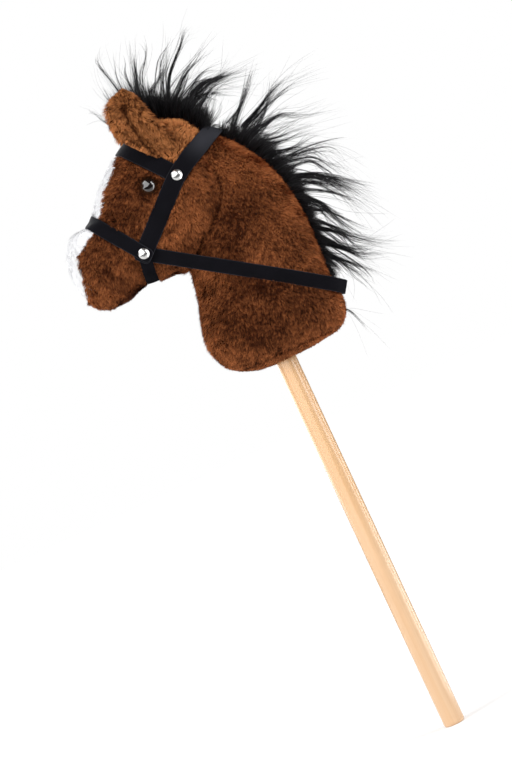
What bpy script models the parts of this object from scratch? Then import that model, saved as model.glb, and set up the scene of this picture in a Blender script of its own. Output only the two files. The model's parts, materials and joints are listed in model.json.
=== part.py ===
"""Hobby horse: a stuffed horse's head and neck on a round wooden stick, with a strap bridle.

The stick stands upright on +Z and the centre of its foot is the origin. The horse looks along
-X and its left side is at -Y. All lengths are in metres. Outlines of the plush are those of the
tips of its pile, read from the side; the sewn cloth under it lies one pile depth further in.
"""

import math

import bmesh
import bpy
from mathutils import Matrix, Vector
from mathutils.bvhtree import BVHTree

OBJECT_NAME = "hobby_horse"

# Clearances
PIECE_GAP = 0.0003
STRAP_GAP = 0.0012
FILLING_GAP = 0.0012
HAIR_BACKING_GAP = 0.0005
HAIR_ROOT_GAP = 0.0007

# Stick and sleeve
STICK_DIAMETER = 0.025
STICK_BELOW_NECK = 0.457
STICK_INSIDE_NECK = 0.215
STICK_EDGE_ROUNDING = 0.0015
SLEEVE_WALL = 0.002
SLEEVE_HEM_HEIGHT = 0.010

# Plush
PILE_DEPTH = 0.004
CLOTH_THICKNESS = 0.003

# Neck: height above its base, then front edge, back edge and half width of each level section
NECK_SECTIONS = (
    (0.010, -0.054, 0.074, 0.038),
    (0.020, -0.066, 0.0855, 0.049),
    (0.035, -0.072, 0.0900, 0.056),
    (0.052, -0.0735, 0.0885, 0.058),
    (0.070, -0.071, 0.0870, 0.058),
    (0.104, -0.060, 0.0895, 0.055),
    (0.140, -0.054, 0.0915, 0.051),
    (0.166, -0.050, 0.0885, 0.048),
    (0.190, -0.047, 0.084, 0.046),
    (0.212, -0.044, 0.076, 0.044),
    (0.234, -0.040, 0.0635, 0.0405),
    (0.254, -0.036, 0.0475, 0.035),
    (0.268, -0.030, 0.033, 0.028),
    (0.278, -0.022, 0.016, 0.018),
)
NECK_SECTION_POWER = 2.2
NECK_MIDDLE_X = 0.010
NECK_MIDDLE_HEIGHTS = (0.052, 0.254)
NECK_ANGLES = 28
NECK_BASE_RINGS = 3
NECK_BASE_SEAM = 0.0027
SEAM_GAP = 0.0003

# Head, seen from the side: forward of the stick's axis is negative, heights are above the neck's base
HEAD_CENTRE = (-0.075, 0.215)
HEAD_OUTLINE = (
    (0.022, 0.264),
    (0.011, 0.296),
    (-0.022, 0.310),
    (-0.055, 0.305),
    (-0.084, 0.292),
    (-0.111, 0.272),
    (-0.129, 0.250),
    (-0.140, 0.235),
    (-0.154, 0.234),
    (-0.168, 0.231),
    (-0.180, 0.215),
    (-0.186, 0.192),
    (-0.184, 0.166),
    (-0.171, 0.142),
    (-0.149, 0.134),
    (-0.130, 0.136),
    (-0.108, 0.143),
    (-0.082, 0.140),
    (-0.055, 0.139),
    (-0.030, 0.149),
    (-0.006, 0.164),
    (0.012, 0.182),
    (0.023, 0.202),
    (0.027, 0.230),
)
BROW_POINT = 4.0
LIP_POINT = 12.6
THROAT_POINT = 18.4
HEAD_STEPS_PER_POINT = 2
HEAD_PANEL_RINGS = 5
HEAD_FILLING_RINGS = 3
GUSSET_STRIPS = 4
CHEEK_HALF_WIDTH = 0.056
GUSSET_HALF_WIDTH = 0.022
OUTLINE_POINT_SPACING = 0.018
# Along the head: place, then half width, squareness of the sides and how far out the seam lies there
HEAD_SHAPES = (
    (-0.186, 0.041, 3.0, 0.87),
    (-0.150, 0.043, 3.0, 0.88),
    (-0.110, 0.045, 3.2, 0.90),
    (-0.060, 0.052, 4.0, 0.90),
    (-0.020, 0.056, 5.5, 0.93),
    (0.027, 0.056, 6.5, 0.95),
)

# Ears
EAR_CLOTH_THICKNESS = 0.0028
EAR_WIDTH_DIRECTION = (0.93, -0.10, 0.35)
EAR_BACK_IS_IN = 0.010
EAR_BACK_IS_UP = 0.004
# Middle of the ear from its root inside the head to its tip: place in the side view, distance out
# from the cloth at its root, half width, and how far its edges curl outwards there
EAR_SHAPE = (
    (-0.0240, 0.2730, -0.0080, 0.0110, 0.002),
    (-0.0240, 0.2740, 0.0030, 0.0125, 0.004),
    (-0.0290, 0.2795, 0.0085, 0.0145, 0.006),
    (-0.0380, 0.2910, 0.0110, 0.0165, 0.007),
    (-0.0445, 0.3065, 0.0125, 0.0185, 0.006),
    (-0.0485, 0.3255, 0.0130, 0.0185, 0.005),
    (-0.0480, 0.3400, 0.0120, 0.0145, 0.003),
    (-0.0450, 0.3475, 0.0115, 0.0075, 0.001),
)
EAR_COLUMNS = 6

# Eyes
EYE_DIAMETER = 0.0178
EYE_DOME_HEIGHT = 0.0068
EYE_PLACE = (-0.0578, 0.2416)
EYE_SHANK_DIAMETER = 0.0048
EYE_SHANK_LENGTH = 0.0100
EYE_WASHER_DIAMETER = 0.015
EYE_WASHER_THICKNESS = 0.0012
SHANK_CLEARANCE = 0.0003

# Bridle
STRAP_THICKNESS = 0.0014
HEADPIECE_WIDTH = 0.020
BROWBAND_WIDTH = 0.019
NOSEBAND_WIDTH = 0.016
CHIN_STRAP_WIDTH = 0.014
REIN_WIDTH = 0.016
LOWER_RIVET_PLACE = (-0.0947, 0.1745)
UPPER_RIVET_PLACE = (-0.0243, 0.2390)
POLL_PLACE = (0.036, 0.273)
FOREHEAD_PLACE = (-0.069, 0.2965)
NOSE_BRIDGE_PLACE = (-0.1375, 0.236)
CHIN_PLACE = (-0.0995, 0.143)
NECK_BACK_PLACE = (0.096, 0.0470)
STRAP_END_LENGTH = 0.0095
STRAP_STEP = 0.008
REIN_STEP = 0.010
REIN_END_SLACK = 0.0068
STRAP_CORNER = 0.0052
HAIR_UNDER_HEADPIECE = 0.0090
HAIR_UNDER_HEADPIECE_HALF_WIDTH = 0.009
REIN_LIFT_DEGREES = 35.0
SEAT_RADIUS = 0.018
CROSSING_SEAT_RADIUS = 0.026
UNDER_RIVET_RADIUS = 0.0095
UNDER_REINS_RADIUS = 0.020
SEAT_BLEND = 0.022

# Rivets
RIVET_CAP_DIAMETER = 0.0125
RIVET_CAP_HEIGHT = 0.0030
RIVET_POST_DIAMETER = 0.0040
RIVET_BACK_DIAMETER = 0.0100
RIVET_BACK_THICKNESS = 0.0010
RIVET_HOLE_REACH = 0.020

# Mane and forelock
HAIR_BACKING_THICKNESS = 0.0012
HAIR_ROOT_HALF_WIDTH = 0.0065
HAIR_TIP_HALF_WIDTH = 0.0009
HAIR_BEND_PLACE = 0.5
HAIR_BEND_WIDTH = 0.75
MANE_END_SECTION = 4
MANE_TOP_SECTION = 11
MANE_LOCKS = 11
MANE_LOCK_LENGTH = 0.078
MANE_VALLEY_LENGTH = 0.040
MANE_TOP_ANGLE = 58.0
MANE_END_ANGLE = -34.0
FORELOCK_START_POINT = 0.55
FORELOCK_END_POINT = 2.75
FORELOCK_LOCKS = 5
FORELOCK_LOCK_LENGTH = 0.074
FORELOCK_VALLEY_LENGTH = 0.036
FORELOCK_BACK_ANGLE = 48.0
FORELOCK_FRONT_ANGLE = 122.0

ROUND_STEPS = 24

# How finely guide lines and surfaces are measured
NORMAL_STEP = 0.001
OUTLINE_STEP = 0.01
SLOPE_STEP = 0.006
RAY_START = 0.5
GUIDE_STEP = 0.0025
GUIDE_CORNER = 0.012
GUIDE_OVERRUN = 0.030
EDGE_SEARCH = 0.004
EDGE_HALVINGS = 20


# Scene and materials


def clear_scene():
    for thing in list(bpy.data.objects):
        bpy.data.objects.remove(thing, do_unlink=True)


def new_collection(name):
    collection = bpy.data.collections.new(name)
    bpy.context.scene.collection.children.link(collection)
    return collection


def material(name, colour, roughness, metallic=0.0):
    made = bpy.data.materials.new(name)
    made.use_nodes = True
    shader = made.node_tree.nodes["Principled BSDF"]
    shader.inputs["Base Color"].default_value = (*colour, 1.0)
    shader.inputs["Roughness"].default_value = roughness
    shader.inputs["Metallic"].default_value = metallic
    return made


def make_materials():
    return {
        "wood": material("pale_wood", (0.80, 0.56, 0.30), 0.45),
        "brown": material("brown_plush", (0.19, 0.065, 0.020), 0.95),
        "white": material("white_plush", (0.86, 0.86, 0.87), 0.95),
        "hair": material("black_hair", (0.012, 0.012, 0.014), 0.55),
        "strap": material("black_strap", (0.016, 0.016, 0.020), 0.50),
        "backing": material("hair_backing", (0.020, 0.019, 0.019), 0.9),
        "metal": material("polished_metal", (0.78, 0.78, 0.78), 0.18, 1.0),
        "eye": material("dark_eye", (0.020, 0.012, 0.010), 0.06),
        "washer": material("washer_plastic", (0.75, 0.75, 0.73), 0.5),
        "filling": material("filling", (0.88, 0.87, 0.84), 1.0),
        "sleeve": material("sleeve_cloth", (0.70, 0.66, 0.58), 0.9),
    }


# Meshes


def add_object(name, mesh, collection, surface=None):
    made = bpy.data.objects.new(name, mesh)
    collection.objects.link(made)
    if surface is not None:
        mesh.materials.append(surface)
    return made


def finish_mesh(name, shape, smooth=True):
    """Turns a bmesh into a mesh with its faces pointing out, split alike on both sides."""
    bmesh.ops.remove_doubles(shape, verts=shape.verts, dist=1e-6)
    bmesh.ops.recalc_face_normals(shape, faces=shape.faces)
    bmesh.ops.triangulate(shape, faces=shape.faces, quad_method="SHORT_EDGE")
    mesh = bpy.data.meshes.new(name)
    shape.to_mesh(mesh)
    shape.free()
    if smooth:
        mesh.shade_smooth()
        mesh.set_sharp_from_angle(angle=math.radians(50))
    return mesh


def skin_grid(shape, grid, around):
    """Faces between the neighbouring rows and columns of a grid of vertices."""
    rows = len(grid)
    for row in range(rows if around else rows - 1):
        first = grid[row]
        second = grid[(row + 1) % rows]
        for column in range(len(first) - 1):
            corners = (first[column], second[column], second[column + 1], first[column + 1])
            shape.faces.new(corners)


def thick_sheet(name, surface, rows, columns, far, near, around=False):
    """A sheet of even thickness that follows surface(row, column, offset), with closed rims."""
    shape = bmesh.new()
    outer = [[shape.verts.new(surface(row, column, far)) for column in columns] for row in rows]
    inner = [[shape.verts.new(surface(row, column, near)) for column in columns] for row in rows]
    skin_grid(shape, outer, around)
    skin_grid(shape, [row[::-1] for row in inner], around)
    for side in (0, -1):
        skin_grid(shape, [[a[side], b[side]] for a, b in zip(outer, inner)], around)
    if not around:
        for end in (0, -1):
            skin_grid(shape, [[a, b] for a, b in zip(outer[end], inner[end])], False)
    return finish_mesh(name, shape)


def closed_form(name, surface, rows, columns, offset):
    """A closed body: rows run round it, and the columns run from one pole or cap to the other."""
    shape = bmesh.new()
    grid = [[shape.verts.new(surface(row, column, offset)) for column in columns] for row in rows]
    skin_grid(shape, grid, True)
    for end in (0, -1):
        cap = [row[end] for row in grid]
        if (cap[0].co - cap[1].co).length > 1e-6:
            shape.faces.new(cap)
    return finish_mesh(name, shape)


def spread(first, last, count):
    return [first + (last - first) * step / (count - 1) for step in range(count)]


def blend(low, high, share):
    return low + (high - low) * share


def smooth_step(share):
    share = min(max(share, 0.0), 1.0)
    return share * share * (3.0 - 2.0 * share)


def read_table(table, place):
    """The other columns of a table at a place along its first one, smoothly blended."""
    for before, after in zip(table, table[1:]):
        if place <= after[0]:
            break
    share = smooth_step((place - before[0]) / (after[0] - before[0]))
    return [blend(low, high, share) for low, high in zip(before[1:], after[1:])]


def through_points(points, place, closed):
    """A smooth curve through the points, read at a place counted in points."""
    count = len(points)
    index = math.floor(place)
    if not closed:
        index = min(max(index, 0), count - 2)
    share = place - index

    def point(number):
        if closed:
            return Vector(points[number % count])
        if number < 0:
            return 2 * Vector(points[0]) - Vector(points[1])
        if number >= count:
            return 2 * Vector(points[-1]) - Vector(points[-2])
        return Vector(points[number])

    before, start, end, after = (point(index + step) for step in (-1, 0, 1, 2))
    bend = 2 * before - 5 * start + 4 * end - after
    swing = 3 * (start - end) + after - before
    return start + 0.5 * share * (end - before + share * (bend + share * swing))


def with_normals(place_on, inside):
    """Adds an offset along the outward direction to a surface given by two numbers."""
    def surface(row, column, offset=0.0):
        here = place_on(row, column)
        step = NORMAL_STEP
        along = place_on(row + step, column) - place_on(row - step, column)
        across = place_on(row, column + step) - place_on(row, column - step)
        outward = along.cross(across)
        if outward.length < 1e-12:
            outward = Vector((0.0, here.y, 0.0))
        outward.normalize()
        if outward.dot(here - inside(here)) < 0:
            outward.negate()
        return here + offset * outward

    return surface


# Neck


def neck_section(place):
    """Height, centre, half depth and half width of the sewn cloth at a place along the sections."""
    height, front, back, half_width = through_points(NECK_SECTIONS, place, closed=False)
    return (
        STICK_BELOW_NECK + height,
        (front + back) / 2,
        (back - front) / 2 - PILE_DEPTH,
        half_width - PILE_DEPTH,
    )


def round_the_neck(angle, half_depth, half_width):
    power = 2 / NECK_SECTION_POWER
    cosine, sine = math.cos(angle), math.sin(angle)
    along = math.copysign(abs(cosine) ** power, cosine) * half_depth
    across = math.copysign(abs(sine) ** power, sine) * half_width
    return along, across


def neck_place(angle, place):
    """The neck's cloth. Places below 0 run in over the base to the stick's hole."""
    height, centre, half_depth, half_width = neck_section(max(place, 0.0))
    along, across = round_the_neck(angle, half_depth, half_width)
    if place >= 0:
        return Vector((centre + along, -across, height))
    inward = min(-place, 1.0)
    hole = STICK_DIAMETER / 2 + PIECE_GAP
    lowest = STICK_BELOW_NECK + PILE_DEPTH
    drop = 1 - (1 - inward) ** 2
    return Vector((
        blend(centre + along, math.cos(angle) * hole, inward),
        blend(-across, -math.sin(angle) * hole, inward),
        blend(height, lowest, drop),
    ))


def middle_of_neck(here):
    lowest, highest = (STICK_BELOW_NECK + height for height in NECK_MIDDLE_HEIGHTS)
    return Vector((NECK_MIDDLE_X, 0.0, min(max(here.z, lowest), highest)))


neck_surface = with_normals(neck_place, middle_of_neck)


def neck_places():
    return [float(index) for index in range(len(NECK_SECTIONS))]


def base_places(last=0.0):
    """Places over the base, from the stick's hole towards the rim."""
    return spread(-1.0, last, NECK_BASE_RINGS + 1)


def neck_angles(first=0.0, last=2 * math.pi, count=NECK_ANGLES):
    return [first + (last - first) * step / count for step in range(count)]


def make_neck_skin(side, collection, surface, cutters):
    name = "neck_skin_left" if side < 0 else "neck_skin_right"
    half = NECK_ANGLES // 2
    angles = spread(0.0, math.pi, half + 1)

    def side_surface(angle, place, offset):
        here = neck_surface(angle, place, offset)
        here.y = min(here.y, -SEAM_GAP / 2)
        here.y *= -side
        return here

    mesh = thick_sheet(name, side_surface, angles, neck_places(), 0.0, -CLOTH_THICKNESS)
    skin = add_object(name, mesh, collection, surface)
    cut(skin, cutters["head"])
    return skin


def make_neck_base(collection, surface):
    across_the_base = neck_section(0.0)[2] - STICK_DIAMETER / 2 - PIECE_GAP
    places = base_places(-NECK_BASE_SEAM / across_the_base)
    mesh = thick_sheet(
        "neck_base_panel", neck_surface, neck_angles(), places, 0.0, -CLOTH_THICKNESS, around=True
    )
    return add_object("neck_base_panel", mesh, collection, surface)


def make_neck_filling(collection, surface, cutters):
    inset = -(CLOTH_THICKNESS + FILLING_GAP)
    places = base_places()[:-1] + neck_places()
    mesh = closed_form("neck_filling", neck_surface, neck_angles(), places, inset)
    filling = add_object("neck_filling", mesh, collection, surface)
    cut(filling, cutters["head"])
    cut(filling, cutters["sleeve"])
    return filling


# Head


def head_outline(place):
    """The head's cloth edge in the side view, one pile depth inside the photographed outline."""
    here = through_points(HEAD_OUTLINE, place, closed=True)
    ahead = through_points(HEAD_OUTLINE, place + OUTLINE_STEP, closed=True)
    behind = through_points(HEAD_OUTLINE, place - OUTLINE_STEP, closed=True)
    along = (ahead - behind).normalized()
    outward = Vector((along.y, -along.x))
    return here - PILE_DEPTH * outward * head_winding()


def head_winding():
    """1 if the outline's points run clockwise seen from -Y, else -1."""
    area = 0.0
    for first, second in zip(HEAD_OUTLINE, HEAD_OUTLINE[1:] + HEAD_OUTLINE[:1]):
        area += first[0] * second[1] - second[0] * first[1]
    return 1.0 if area > 0 else -1.0


def outward_share(seam, lateral):
    """How far out a lateral place lies: within 1 of the middle it is on the gusset."""
    if lateral <= 1:
        return 1 - (1 - seam) * lateral * lateral
    inward = min(lateral - 1, 1.0)
    slope = 2 * (1 - seam)
    return seam - slope * inward - (seam - slope) * inward * inward


def head_place(place, lateral):
    edge = head_outline(place)
    half_width, power, seam = read_table(HEAD_SHAPES, edge.x)
    out = outward_share(seam, abs(lateral))
    centre = Vector(HEAD_CENTRE)
    flat = centre + out * (edge - centre)
    width = blend(CHEEK_HALF_WIDTH, half_width, out * out) - PILE_DEPTH
    swell = math.sqrt(max(0.0, 1 - out**power))
    return Vector((flat.x, math.copysign(width * swell, lateral), STICK_BELOW_NECK + flat.y))


def middle_of_head(_here):
    return Vector((HEAD_CENTRE[0], 0.0, STICK_BELOW_NECK + HEAD_CENTRE[1]))


head_surface = with_normals(head_place, middle_of_head)


def head_places(first=0.0, last=None):
    """Places round the outline: all of them, or those of one stretch with its exact ends."""
    count = len(HEAD_OUTLINE)
    step = 1 / HEAD_STEPS_PER_POINT
    if last is None:
        return [index * step for index in range(count * HEAD_STEPS_PER_POINT)]
    middle = [
        index * step
        for index in range(count * HEAD_STEPS_PER_POINT)
        if first + step / 3 < index * step < last - step / 3
    ]
    return [first, *middle, last]


def panel_laterals(seam_gap=0.0):
    return [1 + seam_gap, *spread(1.0, 2.0, HEAD_PANEL_RINGS + 1)[1:]]


def gusset_laterals(seam_gap=0.0):
    return spread(-1 + seam_gap, 1 - seam_gap, GUSSET_STRIPS + 1)


def whole_head_laterals(rings=HEAD_PANEL_RINGS):
    sides = spread(1.0, 2.0, rings + 1)
    return [-lateral for lateral in reversed(sides)] + gusset_laterals()[1:-1] + sides


SEAM_SHARE_OF_GUSSET = SEAM_GAP / 2 / GUSSET_HALF_WIDTH
SEAM_SHARE_OF_POINT = SEAM_GAP / 2 / OUTLINE_POINT_SPACING


def make_head_skin(side, collection, surface, cutters):
    name = "head_skin_left" if side < 0 else "head_skin_right"
    laterals = [side * lateral for lateral in panel_laterals(SEAM_SHARE_OF_GUSSET)]
    mesh = thick_sheet(
        name, head_surface, head_places(), laterals, 0.0, -CLOTH_THICKNESS, around=True
    )
    skin = add_object(name, mesh, collection, surface)
    cut(skin, cutters["eye_shank_left" if side < 0 else "eye_shank_right"])
    return skin


def make_gusset(name, first, last, collection, surface):
    places = head_places(first + SEAM_SHARE_OF_POINT, last - SEAM_SHARE_OF_POINT)
    laterals = gusset_laterals(SEAM_SHARE_OF_GUSSET)
    mesh = thick_sheet(name, head_surface, places, laterals, 0.0, -CLOTH_THICKNESS)
    return add_object(name, mesh, collection, surface)


def make_head_filling(collection, surface, cutters):
    inset = -(CLOTH_THICKNESS + FILLING_GAP)
    laterals = whole_head_laterals(HEAD_FILLING_RINGS)
    mesh = closed_form("head_filling", head_surface, head_places(), laterals, inset)
    filling = add_object("head_filling", mesh, collection, surface)
    cut(filling, cutters["sleeve"])
    for side in ("left", "right"):
        cut(filling, cutters["eye_pocket_" + side])
    return filling


# Cutters


def cut(target, cutter):
    knife = target.modifiers.new("cut_by_" + cutter.name, "BOOLEAN")
    knife.operation = "DIFFERENCE"
    knife.solver = "EXACT"
    knife.object = cutter


def add_cutter(name, mesh, collection):
    cutter = add_object(name, mesh, collection)
    cutter.hide_render = True
    cutter.display_type = "WIRE"
    return cutter


def standing(place, outward):
    """The placing that puts an origin at a place, with its Z along a direction."""
    turn = Vector(outward).to_track_quat("Z", "Y")
    return Matrix.Translation(place) @ turn.to_matrix().to_4x4()


def cylinders_mesh(name, radius, bottom, top, placings=(Matrix(),)):
    """A cylinder about Z for each placing, from bottom to top."""
    shape = bmesh.new()
    for placing in placings:
        bmesh.ops.create_cone(
            shape,
            cap_ends=True,
            segments=ROUND_STEPS,
            radius1=radius,
            radius2=radius,
            depth=top - bottom,
            matrix=placing @ Matrix.Translation((0.0, 0.0, (top + bottom) / 2)),
        )
    return finish_mesh(name, shape)


def sleeve_top():
    return STICK_BELOW_NECK + STICK_INSIDE_NECK + PIECE_GAP + SLEEVE_WALL


def make_cutters(collection, seats):
    """The bodies that the skins and the filling are cut by."""
    cutters = {}
    mesh = closed_form(
        "head_cutter", head_surface, head_places(), whole_head_laterals(), PIECE_GAP
    )
    cutters["head"] = add_cutter("head_cutter", mesh, collection)
    radius = STICK_DIAMETER / 2 + PIECE_GAP + SLEEVE_WALL + PIECE_GAP
    bottom = STICK_BELOW_NECK - STICK_DIAMETER
    mesh = cylinders_mesh("sleeve_cutter", radius, bottom, sleeve_top() + PIECE_GAP)
    cutters["sleeve"] = add_cutter("sleeve_cutter", mesh, collection)
    for side in ("left", "right"):
        placing = [standing(seats[side]["place"], seats[side]["outward"])]
        radius = EYE_SHANK_DIAMETER / 2 + SHANK_CLEARANCE
        reach = 2 * CLOTH_THICKNESS
        name = "eye_shank_" + side
        mesh = cylinders_mesh(name, radius, -reach, reach, placing)
        cutters[name] = add_cutter(name, mesh, collection)
        radius = EYE_WASHER_DIAMETER / 2 + PIECE_GAP
        name = "eye_pocket_" + side
        mesh = cylinders_mesh(name, radius, -EYE_SHANK_LENGTH - PIECE_GAP, 0.0, placing)
        cutters[name] = add_cutter(name, mesh, collection)
    return cutters


# Turned pieces


def turned(name, profile, collection, surface, closed=False):
    """A round piece: a profile of (radius, height), outer side from top to bottom, spun about Z."""
    shape = bmesh.new()
    corners = [shape.verts.new((radius, 0.0, height)) for radius, height in profile]
    pairs = list(zip(corners, corners[1:]))
    if closed:
        pairs.append((corners[-1], corners[0]))
    for first, second in pairs:
        shape.edges.new((first, second))
    mesh = bpy.data.meshes.new(name)
    shape.to_mesh(mesh)
    shape.free()
    piece = add_object(name, mesh, collection, surface)
    spin = piece.modifiers.new("spin", "SCREW")
    spin.axis = "Z"
    spin.angle = 2 * math.pi
    spin.steps = ROUND_STEPS
    spin.render_steps = ROUND_STEPS
    spin.use_merge_vertices = True
    spin.merge_threshold = 1e-5
    spin.use_smooth_shade = True
    return piece


def dome_profile(radius, height, steps):
    """From the top of a dome down to its rim, along a part of a circle."""
    ball = (radius * radius + height * height) / (2 * height)
    widest = math.asin(min(1.0, radius / ball))
    if height > radius:
        widest = math.pi - widest
    return [
        (ball * math.sin(angle), height - ball + ball * math.cos(angle))
        for angle in spread(0.0, widest, steps + 1)
    ]


def make_stick(collection, surface):
    length = STICK_BELOW_NECK + STICK_INSIDE_NECK
    bpy.ops.mesh.primitive_cylinder_add(
        vertices=2 * ROUND_STEPS,
        radius=STICK_DIAMETER / 2,
        depth=length,
        location=(0.0, 0.0, length / 2),
    )
    stick = bpy.context.object
    stick.name = "stick"
    stick.data.name = "stick"
    stick.data.materials.append(surface)
    for holder in list(stick.users_collection):
        holder.objects.unlink(stick)
    collection.objects.link(stick)
    rounding = stick.modifiers.new("rounded_ends", "BEVEL")
    rounding.width = STICK_EDGE_ROUNDING
    rounding.segments = 2
    rounding.limit_method = "ANGLE"
    rounding.angle_limit = math.radians(40)
    stick.data.shade_smooth()
    stick.data.set_sharp_from_angle(angle=math.radians(40))
    return stick


def make_sleeve(collection, surface):
    inner = STICK_DIAMETER / 2 + PIECE_GAP
    outer = inner + SLEEVE_WALL
    bottom = STICK_BELOW_NECK + SLEEVE_HEM_HEIGHT
    top = sleeve_top()
    profile = [
        (0.0, top),
        (outer, top),
        (outer, bottom),
        (inner, bottom),
        (inner, top - SLEEVE_WALL),
        (0.0, top - SLEEVE_WALL),
    ]
    return turned("stick_sleeve", profile, collection, surface)


# Places on the plush


class Plush:
    """The outside of the sewn head and neck, for finding where straps and eyes lie on it."""

    def __init__(self):
        self.head = self.tree(head_surface, head_places(), whole_head_laterals())
        self.neck = self.tree(neck_surface, neck_angles(), base_places()[:-1] + neck_places())

    @staticmethod
    def tree(surface, rows, columns):
        mesh = closed_form("guide", surface, rows, columns, 0.0)
        points = [vertex.co.copy() for vertex in mesh.vertices]
        faces = [tuple(face.vertices) for face in mesh.polygons]
        bpy.data.meshes.remove(mesh)
        return BVHTree.FromPolygons(points, faces)

    def reach(self, x, z):
        """Half width of the plush at a place in the side view, or None outside it."""
        widest = None
        for tree in (self.head, self.neck):
            for side in (-1, 1):
                start = Vector((x, side * RAY_START, z))
                hit, *_ = tree.ray_cast(start, Vector((0.0, -side, 0.0)))
                if hit is not None:
                    widest = max(widest or 0.0, side * hit.y)
        return widest

    def slope(self, x, z):
        """How the half width changes along X and along Z."""
        step = SLOPE_STEP
        along = (self.reach(x + step, z) - self.reach(x - step, z)) / (2 * step)
        up = (self.reach(x, z + step) - self.reach(x, z - step)) / (2 * step)
        return along, up


def world_place(place):
    return Vector((place[0], STICK_BELOW_NECK + place[1]))


def flat_seat(plush, place, radius, level=False):
    """A plane that just clears the plush round a place: its half width there and its slope."""
    middle = world_place(place)
    along, up = (0.0, 0.0) if level else plush.slope(middle.x, middle.y)
    height = 0.0
    for ring in (0.0, 0.5, 1.0):
        for angle in spread(0.0, 2 * math.pi, 13):
            x = ring * radius * math.cos(angle)
            z = ring * radius * math.sin(angle)
            reach = plush.reach(middle.x + x, middle.y + z)
            height = max(height, reach - along * x - up * z)
    return {"middle": middle, "height": height, "along": along, "up": up}


def seat_height(seat, point, lift):
    """Half width of a seat's plane, moved out square to itself, at a point of the side view."""
    away = point - seat["middle"]
    tilt = math.sqrt(1 + seat["along"] ** 2 + seat["up"] ** 2)
    return seat["height"] + seat["along"] * away.x + seat["up"] * away.y + lift * tilt


def seat_axis(seat, side):
    """The direction straight out of a seat's plane, on the left (-1) or right (1) side."""
    return Vector((-seat["along"], side * 1.0, -seat["up"])).normalized()


def seat_place(seat, side, lift):
    start = Vector((seat["middle"].x, side * seat["height"], seat["middle"].y))
    return start + lift * seat_axis(seat, side)


# Eyes


def eye_seats(plush):
    seat = flat_seat(plush, EYE_PLACE, EYE_DIAMETER / 2)
    return {
        "left": {"place": seat_place(seat, -1, 0.0), "outward": seat_axis(seat, -1)},
        "right": {"place": seat_place(seat, 1, 0.0), "outward": seat_axis(seat, 1)},
    }


def make_eye(side_name, seat, collection, surface, washer_surface):
    shank = EYE_SHANK_DIAMETER / 2
    profile = dome_profile(EYE_DIAMETER / 2, EYE_DOME_HEIGHT, 6)
    profile += [(shank, 0.0), (shank, -EYE_SHANK_LENGTH), (0.0, -EYE_SHANK_LENGTH)]
    eye = turned("eye_" + side_name, profile, collection, surface)
    eye.matrix_world = standing(seat["place"] + PIECE_GAP * seat["outward"], seat["outward"])
    hole = shank + SHANK_CLEARANCE
    rim = EYE_WASHER_DIAMETER / 2
    thickness = EYE_WASHER_THICKNESS
    ring = [(rim, thickness), (rim, 0.0), (hole, 0.0), (hole, thickness)]
    washer = turned("eye_washer_" + side_name, ring, collection, washer_surface, closed=True)
    depth = EYE_SHANK_LENGTH - thickness - 2 * PIECE_GAP
    washer.matrix_world = standing(seat["place"] - depth * seat["outward"], seat["outward"])


# Ears


def ear_place_function(side, root):
    """The ear's middle sheet: rows are counted along EAR_SHAPE, columns run from -1 to 1."""
    width_way = Vector(EAR_WIDTH_DIRECTION).normalized()

    def place_on(row, across):
        x, height, out, *_ = through_points([line[:3] for line in EAR_SHAPE], row, closed=False)
        shape = through_points([(*line[3:], 0.0) for line in EAR_SHAPE], row, closed=False)
        here = Vector((x, root - out - shape[1] * across * across, STICK_BELOW_NECK + height))
        here += across * shape[0] * width_way
        if side > 0:
            here.y = -here.y
        return here

    def behind(here):
        """A point on the side of the ear's back: over the head when it stands, above its root."""
        return here + Vector((0.0, -side * EAR_BACK_IS_IN, EAR_BACK_IS_UP))

    return place_on, behind


def make_ear(side, plush, collection, surface, cutters):
    root = -plush.reach(EAR_SHAPE[0][0], STICK_BELOW_NECK + EAR_SHAPE[0][1])
    ear_surface = with_normals(*ear_place_function(side, root))
    side_name = "left" if side < 0 else "right"
    rows = [float(index) for index in range(len(EAR_SHAPE))]
    columns = spread(-1.0, 1.0, EAR_COLUMNS + 1)
    near, far = PIECE_GAP, PIECE_GAP + EAR_CLOTH_THICKNESS
    layers = (("ear_lining_" + side_name, far, near), ("ear_back_" + side_name, -near, -far))
    for name, far, near in layers:
        mesh = thick_sheet(name, ear_surface, rows, columns, far, near)
        ear = add_object(name, mesh, collection, surface)
        cut(ear, cutters["head"])


# Straps


def guide_line(points):
    """A side view route with straight runs, rounded corners and extra length at its far end."""
    corners = [Vector(point) for point in points]
    start_way = (corners[0] - corners[1]).normalized()
    end_way = (corners[-1] - corners[-2]).normalized()
    corners[0] = corners[0] + STRAP_END_LENGTH * start_way
    corners[-1] = corners[-1] + GUIDE_OVERRUN * end_way
    route = [corners[0]]
    for before, here, after in zip(corners, corners[1:], corners[2:]):
        start = here + GUIDE_CORNER * (before - here).normalized()
        end = here + GUIDE_CORNER * (after - here).normalized()
        for share in spread(0.0, 1.0, 7):
            first = blend(start, here, share)
            second = blend(here, end, share)
            route.append(blend(first, second, share))
    route.append(corners[-1])
    line = [route[0]]
    for first, second in zip(route, route[1:]):
        count = max(1, round((second - first).length / GUIDE_STEP))
        line += [blend(first, second, index / count) for index in range(1, count + 1)]
    return line


def moved_sideways(line, distance):
    """The same route shifted to one side within the side view."""
    shifted = []
    for index, point in enumerate(line):
        before = line[max(index - 1, 0)]
        after = line[min(index + 1, len(line) - 1)]
        along = (after - before).normalized()
        shifted.append(point + distance * Vector((-along.y, along.x)))
    return shifted


def running_lengths(line):
    lengths = [0.0]
    for first, second in zip(line, line[1:]):
        lengths.append(lengths[-1] + (second - first).length)
    return lengths


def point_at(line, lengths, length):
    for index in range(len(line) - 1):
        if length <= lengths[index + 1] or index == len(line) - 2:
            share = (length - lengths[index]) / (lengths[index + 1] - lengths[index])
            return blend(line[index], line[index + 1], share)
    return line[-1]


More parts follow.
